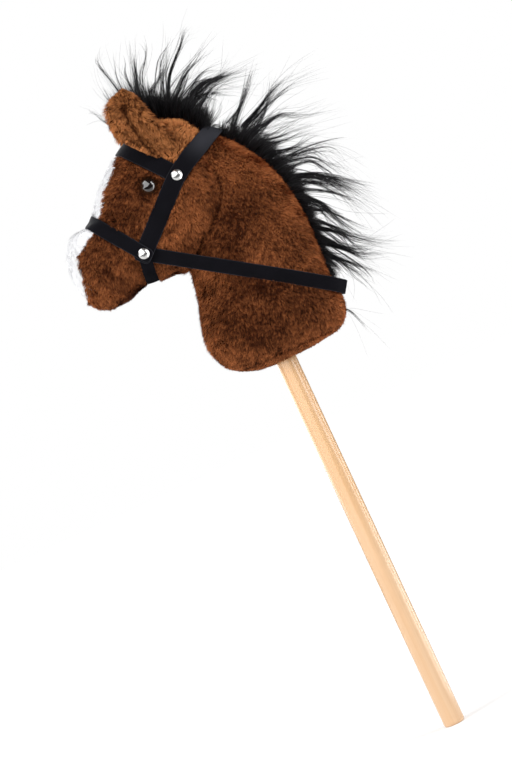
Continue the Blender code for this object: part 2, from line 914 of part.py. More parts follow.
def reach_along(line, reach):
    """(length, half width) along a route, down to where the plush ends."""
    lengths = running_lengths(line)
    found = []
    inside = 0.0
    for point, length in zip(line, lengths):
        half_width = reach(point)
        if half_width is not None:
            found.append((length, half_width))
            inside = length
    low, high = inside, inside + EDGE_SEARCH
    for _ in range(EDGE_HALVINGS):
        middle = (low + high) / 2
        if reach(point_at(line, lengths, middle)) is None:
            high = middle
        else:
            low = middle
    found.append((low, 0.0))
    return found


def taut_half(found):
    """The line a taut band takes over (length, half width) points, from its start to the middle."""
    both = sorted({(a, b) for a, b in found} | {(a, -b) for a, b in found})

    def turn(first, second, third):
        ax, ay = second[0] - first[0], second[1] - first[1]
        bx, by = third[0] - second[0], third[1] - second[1]
        return ax * by - ay * bx

    upper = []
    for point in reversed(both):
        while len(upper) > 1 and turn(upper[-2], upper[-1], point) <= 0:
            upper.pop()
        upper.append(point)
    upper = [point for point in reversed(upper) if point[1] >= 0]
    if upper[-1][1] > 0:
        upper.append((upper[-1][0], 0.0))
    return [Vector(point) for point in upper]


def evenly(points, count):
    lengths = running_lengths(points)
    return [point_at(points, lengths, length) for length in spread(0.0, lengths[-1], count)]


def pushed_out(points, gap):
    """Moves a half band away from the plush; its last point stays in the middle plane."""
    moved = []
    last = len(points) - 1
    for index, point in enumerate(points):
        before = points[max(index - 1, 0)]
        after = points[index + 1] if index < last else Vector((before.x, -before.y))
        along = (after - before).normalized()
        moved.append(point + gap * Vector((-along.y, along.x)))
    return moved


def strap_rails(line, width, reach, step, seats, slack=0.0, shared=False):
    """The strap's edges and middle, each a list of places from the left side to the right.

    Each clears the plush under its own part of the width; shared makes them all alike.
    """
    lines = [moved_sideways(line, share * width) for share in (-0.5, -0.25, 0.0, 0.25, 0.5)]
    found = [reach_along(edge, reach) for edge in lines]
    under_rails = ((0, 1), (1, 2, 3), (3, 4))
    if shared:
        under_rails = (range(len(lines)),) * len(under_rails)
    halves = [
        taut_half([place for number in numbers for place in found[number]])
        for numbers in under_rails
    ]
    count = max(8, round(max(running_lengths(half)[-1] for half in halves) / step))
    rails = []
    for edge, half in zip(lines[::2], halves):
        lengths = running_lengths(edge)
        left = []
        for along, out in pushed_out(evenly(half, count), STRAP_GAP):
            along += slack * smooth_step(2 * along / half[-1].x - 1)
            flat = point_at(edge, lengths, along)
            for seat, lift, radius in seats:
                away = (flat - seat["middle"]).length
                share = 1 - smooth_step((away - radius) / SEAT_BLEND)
                out = max(out, blend(out, seat_height(seat, flat, lift), share))
            left.append(Vector((flat.x, -out, flat.y)))
        right = [Vector((point.x, -point.y, point.z)) for point in reversed(left[:-1])]
        rails.append(left + right)
    return rails


def make_strap(name, rails, collection, surface, holes):
    """A flat strap with rounded ends whose inner face follows its rails, with the rivets' holes."""
    shape = bmesh.new()
    grid = [[shape.verts.new(place) for place in rail] for rail in rails]
    skin_grid(shape, grid, False)
    corners = [rail[end] for rail in (grid[0], grid[-1]) for end in (0, -1)]
    bmesh.ops.bevel(
        shape, geom=corners, offset=STRAP_CORNER, offset_type="OFFSET", segments=3,
        profile=0.5, affect="VERTICES", material=-1,
    )
    bmesh.ops.recalc_face_normals(shape, faces=shape.faces)
    left_face = min(shape.faces, key=lambda face: face.calc_center_median().y)
    if left_face.normal.y > 0:
        bmesh.ops.reverse_faces(shape, faces=shape.faces)
    bmesh.ops.triangulate(shape, faces=shape.faces, quad_method="SHORT_EDGE")
    mesh = bpy.data.meshes.new(name)
    shape.to_mesh(mesh)
    shape.free()
    strap = add_object(name, mesh, collection, surface)
    body = strap.modifiers.new("strap_body", "SOLIDIFY")
    body.thickness = STRAP_THICKNESS
    body.offset = 1.0
    body.use_even_offset = True
    cut(strap, holes)
    return strap


def rivet_levels():
    """Height of each layer of straps over the seat, the lowest one first."""
    first = PIECE_GAP + RIVET_BACK_THICKNESS + PIECE_GAP
    return [first + index * (STRAP_THICKNESS + PIECE_GAP) for index in range(5)]


def make_holes(name, seats, collection):
    """One cutter with a cylinder on both sides for every seat."""
    placings = [
        standing(seat_place(seat, side, 0.0), seat_axis(seat, side))
        for seat in seats
        for side in (-1, 1)
    ]
    radius = RIVET_POST_DIAMETER / 2 + PIECE_GAP
    mesh = cylinders_mesh(name, radius, -RIVET_HOLE_REACH, RIVET_HOLE_REACH, placings)
    return add_cutter(name, mesh, collection)


def make_rivet(name, side, seat, straps, collection, surface):
    side_name = "left" if side < 0 else "right"
    levels = rivet_levels()
    under_cap = levels[straps - 1] + STRAP_THICKNESS + PIECE_GAP
    post = RIVET_POST_DIAMETER / 2
    post_end = PIECE_GAP - under_cap
    profile = dome_profile(RIVET_CAP_DIAMETER / 2, RIVET_CAP_HEIGHT, 4)
    profile += [(post, 0.0), (post, post_end), (0.0, post_end)]
    cap = turned("rivet_" + name + "_" + side_name, profile, collection, surface)
    outward = seat_axis(seat, side)
    cap.matrix_world = standing(seat_place(seat, side, under_cap), outward)
    rim, hole = RIVET_BACK_DIAMETER / 2, post + PIECE_GAP
    ring = [(rim, RIVET_BACK_THICKNESS), (rim, 0.0), (hole, 0.0), (hole, RIVET_BACK_THICKNESS)]
    back = turned("rivet_back_" + name + "_" + side_name, ring, collection, surface, closed=True)
    back.matrix_world = standing(seat_place(seat, side, PIECE_GAP), outward)


def turned_about(point, pivot, degrees):
    angle = math.radians(degrees)
    away = point - pivot
    return pivot + Vector((
        away.x * math.cos(angle) - away.y * math.sin(angle),
        away.x * math.sin(angle) + away.y * math.cos(angle),
    ))


def make_bridle(plush, collection, surfaces, cutter_collection):
    lower = flat_seat(plush, LOWER_RIVET_PLACE, UNDER_REINS_RADIUS, level=True)
    upper = flat_seat(plush, UPPER_RIVET_PLACE, UNDER_RIVET_RADIUS)
    lower_holes = make_holes("lower_rivet_holes", (lower,), cutter_collection)
    upper_holes = make_holes("upper_rivet_holes", (upper,), cutter_collection)
    all_holes = make_holes("all_rivet_holes", (lower, upper), cutter_collection)
    levels = rivet_levels()
    lower_at, upper_at = lower["middle"], upper["middle"]

    def resting(point):
        return plush.reach(point.x, point.y)

    def lifted(point):
        """The widest plush under a place of the reins anywhere in their travel."""
        reaches = [resting(point)]
        if reaches[0] is None:
            return None
        for degrees in spread(0.0, REIN_LIFT_DEGREES, 8)[1:]:
            reaches.append(resting(turned_about(point, lower_at, degrees)))
        return max(found for found in reaches if found is not None)

    poll = world_place(POLL_PLACE)
    hair_depth = HAIR_UNDER_HEADPIECE * (poll - upper_at).normalized()

    def over_hair(point):
        """The half width under the headpiece, which lies on the hair's roots at the poll."""
        found = resting(point)
        if found is None and resting(point - hair_depth) is not None:
            return HAIR_UNDER_HEADPIECE_HALF_WIDTH
        return found

    straps = (
        ("headpiece_strap", (lower_at, upper_at, poll), HEADPIECE_WIDTH, over_hair,
         ((lower, levels[2], CROSSING_SEAT_RADIUS), (upper, levels[1], SEAT_RADIUS)),
         all_holes),
        ("browband", (upper_at, world_place(FOREHEAD_PLACE)), BROWBAND_WIDTH, resting,
         ((upper, levels[0], SEAT_RADIUS),), upper_holes),
        ("noseband", (lower_at, world_place(NOSE_BRIDGE_PLACE)), NOSEBAND_WIDTH, resting,
         ((lower, levels[3], SEAT_RADIUS),), lower_holes),
        ("chin_strap", (lower_at, world_place(CHIN_PLACE)), CHIN_STRAP_WIDTH, resting,
         ((lower, levels[1], SEAT_RADIUS),), lower_holes),
    )
    for name, points, width, reach, seats, holes in straps:
        rails = strap_rails(guide_line(points), width, reach, STRAP_STEP, seats)
        make_strap(name, rails, collection, surfaces["strap"], holes)
    line = guide_line((lower_at, world_place(NECK_BACK_PLACE)))
    seats = ((lower, levels[0], CROSSING_SEAT_RADIUS),)
    rails = strap_rails(line, REIN_WIDTH, lifted, REIN_STEP, seats, REIN_END_SLACK, shared=True)
    reins = make_strap("reins", rails, collection, surfaces["strap"], lower_holes)
    hinge = bpy.data.objects.new("rein_hinge", None)
    hinge.location = (lower_at.x, 0.0, lower_at.y)
    collection.objects.link(hinge)
    reins.data.transform(Matrix.Translation(-hinge.location))
    reins.parent = hinge
    for side in (-1, 1):
        make_rivet("lower", side, lower, 4, collection, surfaces["metal"])
        make_rivet("upper", side, upper, 2, collection, surfaces["metal"])
    print("rein hinge at", [round(value, 5) for value in hinge.location])


# Hair


def hair_fringe(name, roots, collection, surface):
    """Tapered locks side by side. Each root has its two edges, its direction and its length."""
    shape = bmesh.new()
    rows = []
    for left, right, way, length in roots:
        middle = (left + right) / 2
        across = (right - left) / 2
        outer = across.normalized() * HAIR_TIP_HALF_WIDTH
        bend = middle + HAIR_BEND_PLACE * length * way
        bend_edge = HAIR_BEND_WIDTH * across
        tip = middle + length * way
        corners = (right, bend + bend_edge, tip + outer, tip - outer, bend - bend_edge, left)
        rows.append([shape.verts.new(corner) for corner in corners])
    skin_grid(shape, [[*row, row[0]] for row in rows], False)
    for end in (0, -1):
        shape.faces.new(rows[end])
    mesh = finish_mesh(name, shape)
    return add_object(name, mesh, collection, surface)


def lock_lengths(locks, tall, short):
    """Lock, valley, lock and so on, with half a valley at each end."""
    return [tall if index % 2 else short for index in range(2 * locks + 1)]


def way_at(degrees):
    angle = math.radians(degrees)
    return Vector((math.cos(angle), 0.0, math.sin(angle)))


def along_sections(place, offset):
    """A point on the crest, straight between the neck's sections as its cloth is."""
    below = math.floor(min(place, len(NECK_SECTIONS) - 1.001))
    low = neck_surface(0.0, float(below), offset)
    high = neck_surface(0.0, float(below + 1), offset)
    return blend(low, high, place - below)


def make_mane(collection, surfaces):
    under = HAIR_BACKING_GAP
    over = under + HAIR_BACKING_THICKNESS
    sections = [float(index) for index in range(MANE_END_SECTION, MANE_TOP_SECTION + 1)]
    step = 2 * math.pi / NECK_ANGLES
    mesh = thick_sheet("mane_backing", neck_surface, (-step, 0.0, step), sections, over, under)
    add_object("mane_backing", mesh, collection, surfaces["backing"])
    lengths = lock_lengths(MANE_LOCKS, MANE_LOCK_LENGTH, MANE_VALLEY_LENGTH)
    places = spread(sections[0], sections[-1], len(lengths))
    roots = []
    for index, (place, length) in enumerate(zip(places, lengths)):
        crest = along_sections(place, over + HAIR_ROOT_GAP)
        edge = Vector((0.0, HAIR_ROOT_HALF_WIDTH, 0.0))
        way = way_at(blend(MANE_END_ANGLE, MANE_TOP_ANGLE, index / (len(places) - 1)))
        roots.append((crest - edge, crest + edge, way, length))
    hair_fringe("mane", roots, collection, surfaces["hair"])


def make_forelock(collection, surfaces):
    under = HAIR_BACKING_GAP
    over = under + HAIR_BACKING_THICKNESS
    places = spread(FORELOCK_START_POINT, FORELOCK_END_POINT, 2 * FORELOCK_LOCKS + 1)
    laterals = gusset_laterals()[1:-1]
    mesh = thick_sheet("forelock_backing", head_surface, places, laterals, over, under)
    add_object("forelock_backing", mesh, collection, surfaces["backing"])
    lengths = lock_lengths(FORELOCK_LOCKS, FORELOCK_LOCK_LENGTH, FORELOCK_VALLEY_LENGTH)
    roots = []
    for index, (place, length) in enumerate(zip(places, lengths)):
        share = index / (len(places) - 1)
        crown = head_surface(place, 0.0, over + HAIR_ROOT_GAP)
        edge = Vector((0.0, HAIR_ROOT_HALF_WIDTH, 0.0))
        way = way_at(blend(FORELOCK_BACK_ANGLE, FORELOCK_FRONT_ANGLE, share))
        roots.append((crown - edge, crown + edge, way, length))
    hair_fringe("forelock", roots, collection, surfaces["hair"])


def main():
    clear_scene()
    parts = new_collection(OBJECT_NAME)
    guides = new_collection("cutters")
    surfaces = make_materials()
    plush = Plush()
    seats = eye_seats(plush)
    cutters = make_cutters(guides, seats)
    make_stick(parts, surfaces["wood"])
    make_sleeve(parts, surfaces["sleeve"])
    for side in (-1, 1):
        make_neck_skin(side, parts, surfaces["brown"], cutters)
        make_head_skin(side, parts, surfaces["brown"], cutters)
        make_ear(side, plush, parts, surfaces["brown"], cutters)
    make_neck_base(parts, surfaces["brown"])
    make_neck_filling(parts, surfaces["filling"], cutters)
    make_head_filling(parts, surfaces["filling"], cutters)
    make_gusset("crown_gusset", 0.0, BROW_POINT, parts, surfaces["brown"])
    make_gusset("blaze_gusset", BROW_POINT, LIP_POINT, parts, surfaces["white"])
    make_gusset("chin_gusset", LIP_POINT, THROAT_POINT, parts, surfaces["brown"])
    for side_name in ("left", "right"):
        make_eye(side_name, seats[side_name], parts, surfaces["eye"], surfaces["washer"])
    make_bridle(plush, parts, surfaces, guides)
    make_mane(parts, surfaces)
    make_forelock(parts, surfaces)


main()
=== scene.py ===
"""Looks of a plush hobby horse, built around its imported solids.

The stick stands on +Z, the horse looks along -X and its left side is at -Y. Lengths are in metres.
"""

from __future__ import annotations

import json
import logging
import math
from collections.abc import Callable, Iterable, Iterator, Sequence
from contextlib import contextmanager
from dataclasses import dataclass
from enum import Enum

import bmesh
import bpy
import numpy as np
from mathutils import Matrix, Vector
from mathutils.bvhtree import BVHTree
from mathutils.kdtree import KDTree


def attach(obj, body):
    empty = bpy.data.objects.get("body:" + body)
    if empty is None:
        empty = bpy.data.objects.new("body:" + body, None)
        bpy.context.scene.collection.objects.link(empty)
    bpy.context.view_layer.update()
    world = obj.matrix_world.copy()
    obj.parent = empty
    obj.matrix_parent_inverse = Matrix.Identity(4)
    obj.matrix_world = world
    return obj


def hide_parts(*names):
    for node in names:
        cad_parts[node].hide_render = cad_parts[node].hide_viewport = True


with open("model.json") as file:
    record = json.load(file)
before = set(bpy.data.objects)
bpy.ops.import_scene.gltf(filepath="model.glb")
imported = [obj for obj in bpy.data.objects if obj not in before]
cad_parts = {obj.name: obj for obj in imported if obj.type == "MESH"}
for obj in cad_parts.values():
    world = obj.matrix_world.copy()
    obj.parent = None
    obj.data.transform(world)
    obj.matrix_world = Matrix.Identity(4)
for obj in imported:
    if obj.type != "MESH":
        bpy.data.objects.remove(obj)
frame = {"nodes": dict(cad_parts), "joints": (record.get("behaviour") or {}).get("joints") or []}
LOG = logging.getLogger("hobby_horse")
HORSE = "horse"
REINS = "reins"
WHITE = (1.0, 1.0, 1.0)
DOWN_IN_PICTURE = (-0.34, 0.0, -0.94)
HAIR_ENDS_BEHIND = 0.185
HAIR_ENDS_ABOVE = 0.870
TUFT_DEPTH = (0.8, 0.0013)
REIN_STEPS = 10
REIN_GAP = 0.0007
REIN_REACH = 0.012
FLATTEST = 0.0004
FEWEST_STRANDS = 40
CREASE_WIDTH = 0.0016
WAVES = 7
HIGHEST_WAVE = 3.2
PANEL_ANGLE = 0.9
OFF_THE_CLOTH = 0.0002

Array = np.ndarray
Random = np.random.Generator
Triple = tuple[float, float, float]
Colour = Triple
Stops = Sequence[tuple[float, Colour]]
Nap = Callable[[Array, Array], Array]
Piece = bpy.types.Object
Nodes = dict[str, Piece]
Mesh = bpy.types.Mesh
Shape = bmesh.types.BMesh
Edge = bmesh.types.BMEdge
Material = bpy.types.Material
Socket = bpy.types.NodeSocket


class Side(Enum):
    """The horse's own left or right."""

    LEFT = "left"
    RIGHT = "right"

    @property
    def sign(self) -> int:
        """Sign of Y on this side."""
        return -1 if self is Side.LEFT else 1


# Materials


class Wiring:
    """Nodes of a material or of the world, written in short calls."""

    def __init__(self, tree: bpy.types.NodeTree) -> None:
        """Works on a node tree."""
        self.tree = tree
        self.nodes = tree.nodes

    def node(self, kind: str, **settings: object) -> bpy.types.Node:
        """Adds a node.

        Args:
            kind: The node's class name without its ShaderNode prefix.
            **settings: Properties of the node, or default values of its inputs.

        Returns:
            The node.
        """
        made = self.nodes.new("ShaderNode" + kind)
        for key, value in settings.items():
            if hasattr(made, key):
                setattr(made, key, value)
            else:
                made.inputs[key].default_value = value
        return made

    def link(self, source: Socket, target: Socket) -> None:
        """Joins two sockets."""
        self.tree.links.new(source, target)

    def feed(self, target: Socket, value: Socket | float | Sequence[float]) -> None:
        """Gives an input its value.

        Args:
            target: The input.
            value: A socket, a number or a colour.
        """
        if isinstance(value, Socket):
            self.link(value, target)
        else:
            target.default_value = value if isinstance(value, float) else (*value, 1.0)

    def place(self, source: str = "Object") -> bpy.types.bpy_prop_collection:
        """The outputs X, Y and Z of a texture coordinate.

        Args:
            source: Its name.

        Returns:
            The three outputs.
        """
        parts = self.node("SeparateXYZ")
        self.link(self.node("TexCoord").outputs[source], parts.inputs[0])
        return parts.outputs

    def attribute(self, name: str) -> Socket:
        """The value of a mesh attribute."""
        return self.node("Attribute", attribute_name=name).outputs["Fac"]

    def noise(self, scale: float, detail: float = 2.0, stretch: Triple = WHITE) -> Socket:
        """Noise on Object coordinates.

        Args:
            scale: Waves to a metre.
            detail: Octaves.
            stretch: Factors on the three axes.

        Returns:
            The socket of its factor.
        """
        mapping = self.node("Mapping", Scale=stretch)
        self.link(self.node("TexCoord").outputs["Object"], mapping.inputs["Vector"])
        texture = self.node("TexNoise", Scale=scale, Detail=detail)
        self.link(mapping.outputs["Vector"], texture.inputs["Vector"])
        return texture.outputs["Fac"]

    def ramp(self, factor: Socket, stops: Stops) -> Socket:
        """A colour ramp.

        Args:
            factor: What drives it.
            stops: Places and colours, lowest first.

        Returns:
            The socket of its colour.
        """
        made = self.node("ValToRGB")
        elements = made.color_ramp.elements
        while len(elements) < len(stops):
            elements.new(0.5)
        for element, (place, colour) in zip(elements, stops):
            element.position = place
            element.color = (*colour, 1.0)
        self.link(factor, made.inputs["Fac"])
        return made.outputs["Color"]

    def mix(
        self, factor: Socket | float, low: Socket | Colour, high: Socket | Colour,
        blend: str = "MIX",
    ) -> Socket:
        """Mixes two colours.

        Args:
            factor: Share of the second one.
            low: The first colour.
            high: The second colour.
            blend: How they blend.

        Returns:
            The socket of the mixed colour.
        """
        made = self.node("Mix", data_type="RGBA", blend_type=blend)
        for index, value in ((0, factor), (6, low), (7, high)):
            self.feed(made.inputs[index], value)
        return made.outputs[2]

    def tinted(self, first: Socket, second: Socket) -> Socket:
        """Two colours multiplied."""
        return self.mix(1.0, first, second, "MULTIPLY")

    def between(
        self, share: Socket, low: Socket | float, high: Socket | float, **settings: object
    ) -> Socket:
        """A value between two others.

        Args:
            share: How far it is from the low one to the high one.
            low: The low value.
            high: The high value.
            **settings: As for node.

        Returns:
            The value's socket.
        """
        made = self.node("MapRange", **settings)
        for name, value in (("Value", share), ("To Min", low), ("To Max", high)):
            self.feed(made.inputs[name], value)
        return made.outputs["Result"]

    def step(
        self, source: Socket, start: float, end: float, low: float = 0.0, high: float = 1.0
    ) -> Socket:
        """A soft step from low at the start to high at the end."""
        ends = {"From Min": start, "From Max": end}
        return self.between(source, low, high, interpolation_type="SMOOTHSTEP", **ends)

    def maths(self, operation: str, first: Socket, *others: Socket | float) -> Socket:
        """A sum, product or other operation on several values.

        Args:
            operation: Its name.
            first: The first value.
            *others: The values that follow, each joined to the result so far.

        Returns:
            The result's socket.
        """
        for other in others:
            made = self.node("Math", operation=operation)
            self.link(first, made.inputs[0])
            self.feed(made.inputs[1], other)
            first = made.outputs[0]
        return first

    def window(self, *steps: tuple) -> Socket:
        """The product of soft steps, each given by what step takes."""
        return self.maths("MULTIPLY", *(self.step(*step) for step in steps))

    def mirrored(self, across: Socket) -> Socket:
        """Y on the horse's left side, whichever side it is."""
        return self.maths("MULTIPLY", self.maths("ABSOLUTE", across, 0.0), -1.0)


class Shading(Wiring):
    """Nodes of one material around its shader."""

    def __init__(self, name: str, roughness: float, **values: object) -> None:
        """Makes the material with its shader.

        Args:
            name: The material's name.
            roughness: The shader's roughness.
            **values: Other sockets of the shader, with spaces written as underscores.
        """
        self.material = bpy.data.materials.new(name)
        self.material.use_nodes = True
        super().__init__(self.material.node_tree)
        self.shader = self.nodes["Principled BSDF"]
        self.shader.inputs["Roughness"].default_value = roughness
        for key, value in values.items():
            self.shader.inputs[key.replace("_", " ")].default_value = value

    def bump(self, height: Socket, strength: float, distance: float) -> None:
        """Roughens the surface.

        Args:
            height: Its height, in units of the distance.
            strength: Share of the relief that shows.
            distance: The distance.
        """
        made = self.node("Bump", Strength=strength, Distance=distance)
        self.link(height, made.inputs["Height"])
        self.link(made.outputs["Normal"], self.shader.inputs["Normal"])

    def tufts(self) -> Socket:
        """The height of short white tufts that lie down the face."""
        return self.noise(430.0, 2.0, (1.0, 1.0, 0.35))

    def colour(self, source: Socket) -> Material:
        """Gives the shader its colour and returns the finished material."""
        self.link(source, self.shader.inputs["Base Color"])
        return self.material


@dataclass(frozen=True)
class StrandFinish:
    """Strands of plush or hair: dark at the root, lighter at the tip, each in its own tone. The
    dark roots are partly painted shade deep in the pile.
    """

    name: str
    root: Colour
    body: Colour
    tip: Colour
    shade: Colour
    roughness: float = 0.75
    shine: float = 0.07

    def build(self) -> Material:
        """Makes the material.

        Returns:
            The material.
        """
        made = Shading(self.name, self.roughness, Specular_IOR_Level=self.shine)
        stops = ((0.0, self.root), (0.45, self.body), (1.0, self.tip))
        along = made.ramp(made.attribute("along"), stops)
        tone = made.ramp(made.attribute("tone"), ((0.0, self.shade), (1.0, WHITE)))
        return made.colour(made.tinted(along, tone))


@dataclass(frozen=True)
class GrainFinish:
    """Backing, woven cloth, moulded plastic or brushed metal: two tones over a fine relief."""

    name: str
    low: Colour
    high: Colour
    grain: float = 900.0
    tufted: bool = False
    roughness: float = 0.95
    shine: float = 0.1
    detail: float = 3.0
    relief: tuple[float, float] = (0.5, 0.0006)
    stretch: Triple = WHITE
    metallic: float = 0.0

    def build(self) -> Material:
        """Makes the material.

        Returns:
            The material.
        """
        made = Shading(
            self.name, self.roughness, Specular_IOR_Level=self.shine, Metallic=self.metallic
        )
        weave = made.noise(self.grain, self.detail, self.stretch)
        if self.tufted:
            made.bump(made.tufts(), *TUFT_DEPTH)
        else:
            made.bump(weave, *self.relief)
        return made.colour(made.mix(weave, self.low, self.high))


@dataclass(frozen=True)
class FaceFinish:
    """Backing of the head: white under the blaze's pile and brown under the rest."""

    brown: GrainFinish
    white: GrainFinish
    wide: float = 0.13

    def build(self) -> Material:
        """Makes the material.

        Returns:
            The material.
        """
        made = Shading("face_backing", self.brown.roughness, Specular_IOR_Level=self.brown.shine)
        weave = made.noise(self.brown.grain, self.brown.detail)
        place = made.place()
        left, low = FACE_EDGE[0]
        tall = FACE_EDGE[-1, 1] - low
        stops = [((z - low) / tall, ((x - left) / self.wide,) * 3) for x, z in FACE_EDGE]
        height = made.maths("DIVIDE", made.maths("SUBTRACT", place["Z"], low), tall)
        ahead = made.maths("DIVIDE", made.maths("SUBTRACT", place["X"], left), self.wide)
        is_white = made.maths("LESS_THAN", ahead, made.ramp(height, stops))
        made.bump(made.mix(is_white, weave, made.tufts()), *TUFT_DEPTH)
        brown = made.mix(weave, self.brown.low, self.brown.high)
        return made.colour(made.mix(is_white, brown, self.white.high))


@dataclass(frozen=True)
class StrapFinish:
    """Coated strap with a fine grain and a paler painted sheen where it crosses the top of the
    head.
    """

    name: str
    low: Colour
    high: Colour
    roughness: float
    painted_sheen: Colour = (0.046, 0.047, 0.056)

    def build(self) -> Material:
        """Makes the material.

        Returns:
            The material.
        """
        made = Shading(self.name, self.roughness, Specular_IOR_Level=0.004)
        grain = made.noise(1700.0, 3.0)
        made.bump(grain, 0.35, 0.0003)
        plain = made.mix(made.maths("MULTIPLY", grain, made.noise(60.0)), self.low, self.high)
        place = made.place()
        # Painted sheen: the headpiece's top is mixed towards a paler blue-grey.
        painted_sheen = made.window((place["X"], -0.014, 0.020), (place["Z"], 0.690, 0.725, 0.0, 0.8))
        return made.colour(made.mix(painted_sheen, plain, self.painted_sheen))


@dataclass(frozen=True)
class WoodFinish:
    """Varnished pale wood with its grain along the stick, with painted shade that makes its upper
    part, near the neck, a little browner.
    """

    name: str = "varnished_wood"
    pale: Colour = (0.82, 0.55, 0.33)
    warm: Colour = (0.77, 0.48, 0.265)
    streak: Colour = (0.63, 0.36, 0.17)
    upper: Colour = (0.93, 0.86, 0.73)

    def build(self) -> Material:
        """Makes the material.

        Returns:
            The material.
        """
        made = Shading(self.name, 0.42, Coat_Weight=0.6, Coat_Roughness=0.15)
        broad = made.noise(70.0, 2.0, (1.0, 1.0, 0.03))
        fine = made.noise(480.0, 4.0, (1.0, 1.0, 0.02))
        base = made.ramp(broad, ((0.34, self.warm), (0.66, self.pale)))
        lines = made.ramp(fine, ((0.42, (0.0, 0.0, 0.0)), (0.75, WHITE)))
        grained = made.mix(made.maths("MULTIPLY", lines, 0.22), base, self.streak)
        # Painted shade: the stick's upper part, near the neck, is tinted darker and browner.
        upper_painted_shade = made.mix(made.step(made.place()["Z"], 0.18, 0.32), WHITE, self.upper)
        return made.colour(made.tinted(grained, upper_painted_shade))


@dataclass(frozen=True)
class EyeFinish:
    """Glossy eye: black in the middle, brown towards its rim."""

    name: str = "glossy_eye"
    pupil: Colour = (0.004, 0.003, 0.003)
    iris: Colour = (0.024, 0.011, 0.006)
    rim: Colour = (0.075, 0.034, 0.016)

    def build(self) -> Material:
        """Makes the material.

        Returns:
            The material.
        """
        made = Shading(self.name, 0.07, IOR=1.5, Coat_Weight=0.6, Coat_Roughness=0.03, Coat_IOR=1.6)
        stops = ((0.0, self.pupil), (0.62, self.pupil), (0.86, self.iris), (1.0, self.rim))
        ring = made.ramp(made.attribute("ring"), stops)
        speck = made.maths("MULTIPLY", made.noise(1500.0), 0.2)
        return made.colour(made.mix(speck, ring, self.iris))


@dataclass(frozen=True)
class FloorFinish:
    """White floor that the camera sees a little brighter, so that only shadows show on it.

    Gloss shows it white near the horse and dark further out, where the room is dim, with a bright
    lane on both sides that draws the light line down the varnished stick.
    """

    name: str = "white_floor"
    shade: float = 0.82
    lift_near: float = 0.30
    lift_far: float = 0.52
    dark_from: float = -0.60
    dark_to: float = -0.95
    lane: float = 5.0

    def build(self) -> Material:
        """Makes the material.

        Returns:
            The material.
        """
        made = Shading(self.name, 0.9, Specular_IOR_Level=0.0)
        made.shader.inputs["Emission Color"].default_value = (*WHITE, 1.0)
        path = made.node("LightPath").outputs
        place = made.place()
        across, ahead = place["X"], made.mirrored(place["Y"])
        front = made.step(ahead, self.dark_from, self.dark_to)
        slope = made.maths("DIVIDE", ahead, across)
        lane = made.window(
            (slope, -0.60, -0.48), (slope, -0.08, -0.20), (across, 0.10, 0.25, 0.0, self.lane)
        )
        squares = (made.maths("MULTIPLY", part, part) for part in (across, ahead))
        lift = made.step(made.maths("ADD", *squares), 0.1, 1.6, self.lift_near, self.lift_far)
        dark = made.maths("MULTIPLY", front, path["Is Glossy Ray"])
        seen = made.maths(
            "MAXIMUM", path["Is Camera Ray"], path["Is Glossy Ray"], path["Is Transmission Ray"]
        )
        lit = made.maths("MULTIPLY", made.maths("SUBTRACT", seen, dark), lift)
        lit = made.maths("ADD", lit, made.maths("MULTIPLY", lane, path["Is Glossy Ray"]))
        made.link(lit, made.shader.inputs["Emission Strength"])
        return made.colour(made.mix(dark, (self.shade,) * 3, (0.05, 0.05, 0.05)))


# Meshes


@contextmanager
def reshaped(mesh: Mesh) -> Iterator[Shape]:
    """Opens a mesh for changes and writes them back.

    Args:
        mesh: The mesh.

    Yields:
        Its editable form.
    """
    shape = bmesh.new()
    shape.from_mesh(mesh)
    yield shape
    shape.to_mesh(mesh)
    shape.free()


def sharp_edges(shape: Shape, angle: float) -> list[Edge]:
    """Edges between two faces that meet at more than an angle."""
    return [e for e in shape.edges if len(e.link_faces) == 2 and e.calc_face_angle() > angle]


def rounded(
    shape: Shape, edges: list[Edge], width: float, steps: int, material: int
) -> None:
    """Rounds edges.

    Args:
        shape: What they belong to.
        edges: The edges.
        width: How far the rounding reaches.
        steps: Its number of faces across.
        material: Index of its material, or -1 for that of the faces beside it.
    """
    bmesh.ops.bevel(
        shape, geom=edges, offset=width, segments=steps, profile=0.5, affect="EDGES",
        material=material, clamp_overlap=True,
    )


def smoothed(mesh: Mesh, angle: float) -> None:
    """Shades a mesh smooth except at its edges over an angle."""
    mesh.shade_smooth()
    mesh.set_sharp_from_angle(angle=angle)


def solid_copy(node: Piece, name: str, *materials: Material) -> Piece:
    """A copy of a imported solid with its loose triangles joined.

    Args:
        node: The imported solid.
        name: Name of the new piece.
        *materials: Its materials.

    Returns:
        The new piece, linked to the scene.
    """
    mesh = bpy.data.meshes.new(name)
    with reshaped(mesh) as shape:
        shape.from_mesh(node.data)
        bmesh.ops.remove_doubles(shape, verts=shape.verts, dist=2e-6)
    for attribute in ("custom_normal", "sharp_face", "sharp_edge"):
        found = mesh.attributes.get(attribute)
        if found is not None:
            mesh.attributes.remove(found)
    return add_piece(name, mesh, *materials)


def add_piece(name: str, mesh: Mesh, *materials: Material) -> Piece:
    """Links a mesh to the scene.

    Args:
        name: Name of the piece.
        mesh: Its mesh.
        *materials: Its materials.

    Returns:
        The piece.
    """
    made = bpy.data.objects.new(name, mesh)
    bpy.context.scene.collection.objects.link(made)
    for material in materials:
        mesh.materials.append(material)
    return made


def dress(piece: Piece, slot: str, body: str = HORSE, *nodes: str) -> Piece:
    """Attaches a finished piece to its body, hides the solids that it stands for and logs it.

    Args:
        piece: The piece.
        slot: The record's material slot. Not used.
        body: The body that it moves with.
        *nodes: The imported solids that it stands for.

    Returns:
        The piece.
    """
    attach(piece, body)
    if nodes:
        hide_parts(*nodes)
    LOG.info("%s: %d faces", piece.name, len(piece.data.polygons))
    return piece


